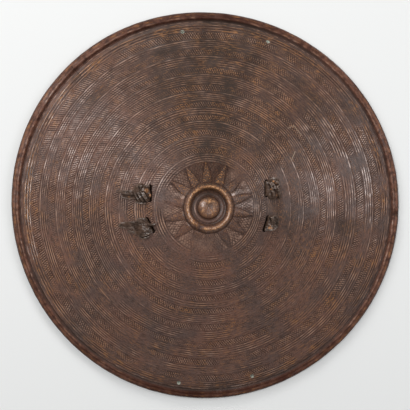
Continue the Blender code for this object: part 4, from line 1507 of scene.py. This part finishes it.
def upper_runs():
    """Every run of the upper strap."""
    main = front((-116, 23, 3.5, 0, 22, 5.0), (-108, 23.5, 6.0, 0, 25, 4.5),
                 (-101, 23.5, 4.4, 0, 26, 3.8), (-98, 23.5, -2.0, 0, 26, 3.4))
    main += behind((-0.0975, 0.0235, 0.0), (0.0962, 0.0310, 0.0), 1)
    main += front((96.6, 31, -2.0, 0, 26, 3.4), (99.4, 30.5, 2.6, 0, 19, 3.8),
                  (107, 30.5, 4.6, 0, 17, 4.5), (114, 30, 2.8, 0, 16, 4.0))
    return [
        main,
        front((-120, 33, 0.8, -35, 5, 3.4), (-118.5, 28, 5.6, -30, 5, 3.6),
              (-115.5, 20, 8.2, -28, 5.2, 3.8), (-111, 12, 6.2, -30, 5, 3.6),
              (-108, 7.5, 1, -30, 5, 3)),
        front((-116, 37, 0.8, -30, 5, 3.2), (-114, 31, 7.0, -28, 5, 3.6),
              (-110.5, 22, 9.8, -28, 5.2, 3.8), (-106, 13, 7.2, -30, 5, 3.6), (-102, 8, 1, -30, 5, 3)),
        front((-110, 38, 1.5, -30, 5, 3.2), (-108, 34, 8.0, -28, 5.5, 3.8),
              (-104.5, 24, 10.4, -26, 5.5, 4.0), (-100.5, 15, 7.0, -24, 5, 3.4),
              (-99, 10, 1, -20, 5, 3)),
        front((-110, 35.5, 8.0, 30, 8, 3.4), (-105.5, 31.5, 12.2, 36, 9.5, 3.8),
              (-100, 28, 7.6, 40, 8, 3.2)),
        front((-118, 12.5, 1.6, -8, 8, 3.4), (-110, 10, 6.0, -6, 9, 4.2), (-102, 8.8, 2.4, -4, 8, 3.4)),
        front((-99.5, 24, 1.0, 0, 3.0, 2.0), (-95.4, 22.5, 3.0, 40, 3.0, 2.0),
              (-94.6, 18.5, 2.6, 90, 3.0, 2.0), (-98.5, 16, 0.0, 0, 3.0, 2.0)),
        front((-115, 24, 6.0, 0, 8, 4.0), (-123, 24, 4.6, 0, 7.6, 3.6), (-133, 24.4, 4.0, 2, 7, 3.4),
              (-141, 25.2, 3.2, 4, 5, 3.0), (-147, 26.8, 2.2, 6, 2.6, 2.0)),
        front((-115, 19, 4.0, 0, 10, 4.0), (-124, 18.4, 2.8, 0, 11, 3.4),
              (-134, 18.4, 2.2, -2, 10, 3.2), (-142, 19.6, 1.8, -6, 7.5, 2.6)),
        front((99.5, 39, 0.8, 15, 8, 3.4), (101, 35.5, 5.2, 12, 8, 4.0), (103.4, 27, 7.4, 14, 8, 4.2),
              (105.4, 20, 4.6, 14, 7.5, 3.6), (106, 16.5, 1.0, 14, 7, 3.0)),
        front((107, 43, 5.0, 20, 9, 4.0), (110, 37.5, 8.6, 14, 9.5, 4.2), (113.6, 28, 7.4, 12, 9, 4.2),
              (116, 19, 4.0, 10, 8, 3.6), (117, 15.5, 1.2, 10, 7, 3.0)),
        front((100.5, 43, 2.0, 0, 9, 3.4), (107.5, 43.5, 8.2, 0, 11, 4.4), (115, 40.5, 3.4, 0, 9, 3.4)),
        front((101.5, 40.5, 5.6, 35, 4.5, 3.4), (106, 33.5, 9.6, 35, 5, 3.4),
              (110, 27, 7.0, 30, 5, 3.0)),
    ]


def lower_runs():
    """Every run of the lower strap."""
    main = front((-147, -30.5, 1.4, 0, 5, 2.0), (-143, -30.2, 2.0, 0, 9, 3.2),
                 (-136, -29.4, 2.4, 0, 11.5, 3.6), (-127, -29, 3.0, 0, 12.5, 3.8),
                 (-119.5, -29.5, 3.4, 5, 15, 4.0), (-115.5, -30.5, 4.0, 14, 27, 4.2),
                 (-110, -31.5, 5.4, 20, 31, 4.4), (-104.5, -31.5, 5.2, 24, 31, 4.2),
                 (-100.2, -30.2, 3.0, 27, 29, 3.8), (-97.6, -29.4, -2.0, 28, 26, 3.4))
    main += behind((-0.0975, -0.0290, 28.0), (0.0970, -0.0270, -17.0), -1)
    main += front((98.0, -26.8, -2.0, -17, 25, 2.4), (102, -26, 2.4, -16, 26, 3.4),
                  (106, -24.6, 4.2, -14, 24, 4.2), (109.5, -20.5, 3.4, -10, 19, 4.0),
                  (113.5, -16.5, 2.0, -8, 12, 2.6))
    return [
        main,
        front((-113.5, -42.5, 1.6, 60, 5, 3.2), (-110, -48, 3.4, 60, 5, 3.6),
              (-103, -49.8, 3.6, 100, 5, 3.6), (-96.5, -46.5, 1.8, 130, 5, 3.2)),
        front((-112, -40, 3.0, 0, 5.5, 3.4), (-121, -40.6, 2.4, 0, 5, 3.2),
              (-128, -40.2, 2.0, 0, 4.4, 2.8), (-132.5, -39, 1.2, 0, 3, 1.8)),
        front((-99, -27.2, 1.6, 0, 4.4, 2.6), (-92.5, -28, 2.4, 0, 3.8, 2.6),
              (-87.5, -27.2, 2.0, 0, 3.0, 2.2), (-84.5, -26.4, 1.0, 0, 1.6, 1.4)),
    ]


print("runs:", len(upper_runs()), "for the upper strap and", len(lower_runs()), "for the lower one")

# %% [markdown]
# ## Joining and working the straps
#
# The runs and cushions of one strap are joined and remeshed into one closed skin. Soft noise
# along the skin gives lumps and wrinkles. Then the skin is compared with a smoothed copy of
# itself: what stands out of it gets rubbed, and what lies deeper is marked to be painted dark as
# shade.

# %% Strap skins
STRAP_VOXEL = 0.00075
SKIN_PASSES = 24
RUBBED_SPOTS = (
    (-101.5, 28.0, 3.4, 1.0), (-144.0, 26.4, 3.4, 0.9), (-95.0, 20.0, 3.0, 0.8),
    (-131.0, 17.5, 3.0, 0.5), (107.5, 43.0, 2.0, 0.8), (111.5, 40.0, 2.2, 0.5),
    (103.5, 30.0, 1.6, 0.8), (113.0, 20.0, 2.2, 0.5), (100.8, -34.0, 2.2, 1.0),
    (104.6, -34.6, 2.0, 0.9), (103.0, -30.6, 1.4, 0.8), (-112.0, -31.0, 3.0, 0.2),
)


def join_pieces(pieces, name):
    """Join pieces and remesh them into one closed skin."""
    bpy.ops.object.select_all(action="DESELECT")
    for piece in pieces:
        piece.select_set(True)
    bpy.context.view_layer.objects.active = pieces[0]
    bpy.ops.object.join()
    skin = bpy.context.object
    skin.name = name
    remesh = skin.modifiers.new("skin", "REMESH")
    remesh.mode = "VOXEL"
    remesh.voxel_size = STRAP_VOXEL
    bpy.ops.object.modifier_apply(modifier=remesh.name)
    soften = skin.modifiers.new("soften", "SMOOTH")
    soften.iterations = 3
    bpy.ops.object.modifier_apply(modifier=soften.name)
    return skin


def smoothed(values, edges, passes):
    """Values averaged with their neighbours along the edges of a mesh."""
    count = np.bincount(edges.ravel(), minlength=len(values)).astype(float)
    values = values.reshape(len(values), -1).copy()
    for _ in range(passes):
        total = np.zeros_like(values)
        for column in range(values.shape[1]):
            total[:, column] = np.bincount(edges[:, 0], values[edges[:, 1], column], len(values))
            total[:, column] += np.bincount(edges[:, 1], values[edges[:, 0], column], len(values))
        values = 0.5 * values + 0.5 * total / count[:, None]
    return values


def work_skin(skin, seed):
    """Wrinkle a strap's skin and mark its high places, its low places for painted shade, and its rubbed
    places.
    """
    mesh = skin.data
    count = len(mesh.vertices)
    spots = np.empty(count * 3, np.float32)
    normals = np.empty(count * 3, np.float32)
    edges = np.empty(len(mesh.edges) * 2, np.int32)
    mesh.vertices.foreach_get("co", spots)
    mesh.vertex_normals.foreach_get("vector", normals)
    mesh.edges.foreach_get("vertices", edges)
    spots, normals = spots.reshape(-1, 3).astype(float), normals.reshape(-1, 3).astype(float)
    edges = edges.reshape(-1, 2)
    wrinkles = cloud(spots * (1.0, 2.4, 1.0), 0.0045, seed) * 0.00034
    lumps = cloud(spots, 0.0070, seed + 1) * 0.00045 + cloud(spots, 0.0021, seed + 2) * 0.00018
    spots += normals * (wrinkles + lumps)[:, None]
    apart = ((spots - smoothed(spots, edges, SKIN_PASSES)) * normals).sum(axis=1)
    apart = smoothed(apart, edges, 1)[:, 0] / 0.00035
    rubbed = np.zeros(count)
    for x, y, reach, strength in RUBBED_SPOTS:
        away = np.hypot(spots[:, 0] * 1000 - x, spots[:, 1] * 1000 - y) / reach
        rubbed = np.maximum(rubbed, strength * np.exp(-away ** 2))
    rubbed *= soft_step(spots[:, 2], 0.080, 0.090)
    values = {"groove": np.clip(-apart, 0, 1), "crest": np.clip(apart, 0, 1), "tan": rubbed}
    mesh.vertices.foreach_set("co", spots.astype(np.float32).ravel())
    for mark, numbers in values.items():
        write_mark(mesh, mark, numbers)
    mesh.update()
    mesh.shade_smooth()


def build_strap(name, runs, cushions, seed):
    """One whole strap from its runs and cushions."""
    pieces = [strap_run(stations) for stations in runs]
    pieces += [cushion(*values) for values in cushions]
    skin = join_pieces(pieces, name)
    work_skin(skin, seed)
    return skin


upper_strap = build_strap("upper_strap", upper_runs(), [
    (-107, 22.8, 2.0, (12.6, 15.2, 6.5)), (105.4, 28.8, 2.6, (11.4, 17.6, 5.8))], 61)
lower_strap = build_strap("lower_strap", lower_runs(), [], 71)
for strap in (upper_strap, lower_strap):
    print(strap.name, len(strap.data.polygons) * 2, "triangles")

# %% [markdown]
# ## Finish of the straps
#
# Nearly black hide that is greasy with use. Folds that stand up are rubbed grey and shine, the
# creases are painted black as shade, and where a fold has torn or worn through it shows tan and
# orange.

# %% Strap finish
STRAP_BLACK = (0.015, 0.009, 0.006)
STRAP_BROWN = (0.066, 0.036, 0.023)
STRAP_GREY = (0.150, 0.098, 0.070)
STRAP_TAN = (0.430, 0.200, 0.085)


def strap_finish():
    """Dark greasy strap hide."""
    finish, tree, shader, place = new_finish("dark_strap")
    grain = use_group(tree, GRAIN, Place=place, **{"Pebble Scale": 1500.0, "Blotch Scale": 60.0})
    groove, crest, tan = (mark_value(tree, name) for name in ("groove", "crest", "tan"))
    wear = use_group(tree, WEAR, Place=place, Raised=crest, Amount=0.8)
    specks, blotches = grain.outputs["Specks"], grain.outputs["Blotches"]
    colour = blend_colours(tree, blotches, STRAP_BLACK, STRAP_BROWN)
    colour = blend_colours(tree, sums(tree, "MULTIPLY", specks, 0.18), colour, STRAP_GREY)
    colour = blend_colours(tree, wear.outputs["Rubbed"], colour, STRAP_GREY)
    # Painted shade: the creases are darkened towards black.
    colour = blend_colours(tree, sums(tree, "MULTIPLY", groove, 0.8), colour, STRAP_BLACK)
    flecks = stretch(tree, soft_noise(tree, place, 500.0, 3.0, 0.7), 0.36, 0.60)
    worn_through = stretch(tree, tan, 0.15, 0.75)
    bare = sums(tree, "MULTIPLY", worn_through, sums(tree, "MULTIPLY_ADD", flecks, 0.8, 0.2))
    colour = blend_colours(tree, bare, colour, STRAP_TAN)
    feed(tree, shader.inputs["Base Color"], colour)
    rough = sums(tree, "MULTIPLY_ADD", specks, 0.18, 0.30)
    feed(tree, shader.inputs["Roughness"], sums(tree, "MULTIPLY_ADD", groove, 0.3, rough, clamp=True))
    shader.inputs["Specular IOR Level"].default_value = 0.12
    greasy = sums(tree, "MULTIPLY", wear.outputs["Rubbed"], 0.9, clamp=True)
    feed(tree, shader.inputs["Coat Weight"], greasy)
    shader.inputs["Coat Roughness"].default_value = 0.14
    shader.inputs["Coat IOR"].default_value = 1.8
    feed(tree, shader.inputs["Normal"], bumped(tree, grain.outputs["Height"], 0.0002, 0.8))
    return finish


dark_finish = strap_finish()
for strap, node in ((upper_strap, "upper_grip_strap"), (lower_strap, "lower_grip_strap")):
    strap.data.materials.clear()
    strap.data.materials.append(dark_finish)
    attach(strap, "root")
    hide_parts(node)
    print(strap.name, "takes the place of", node)
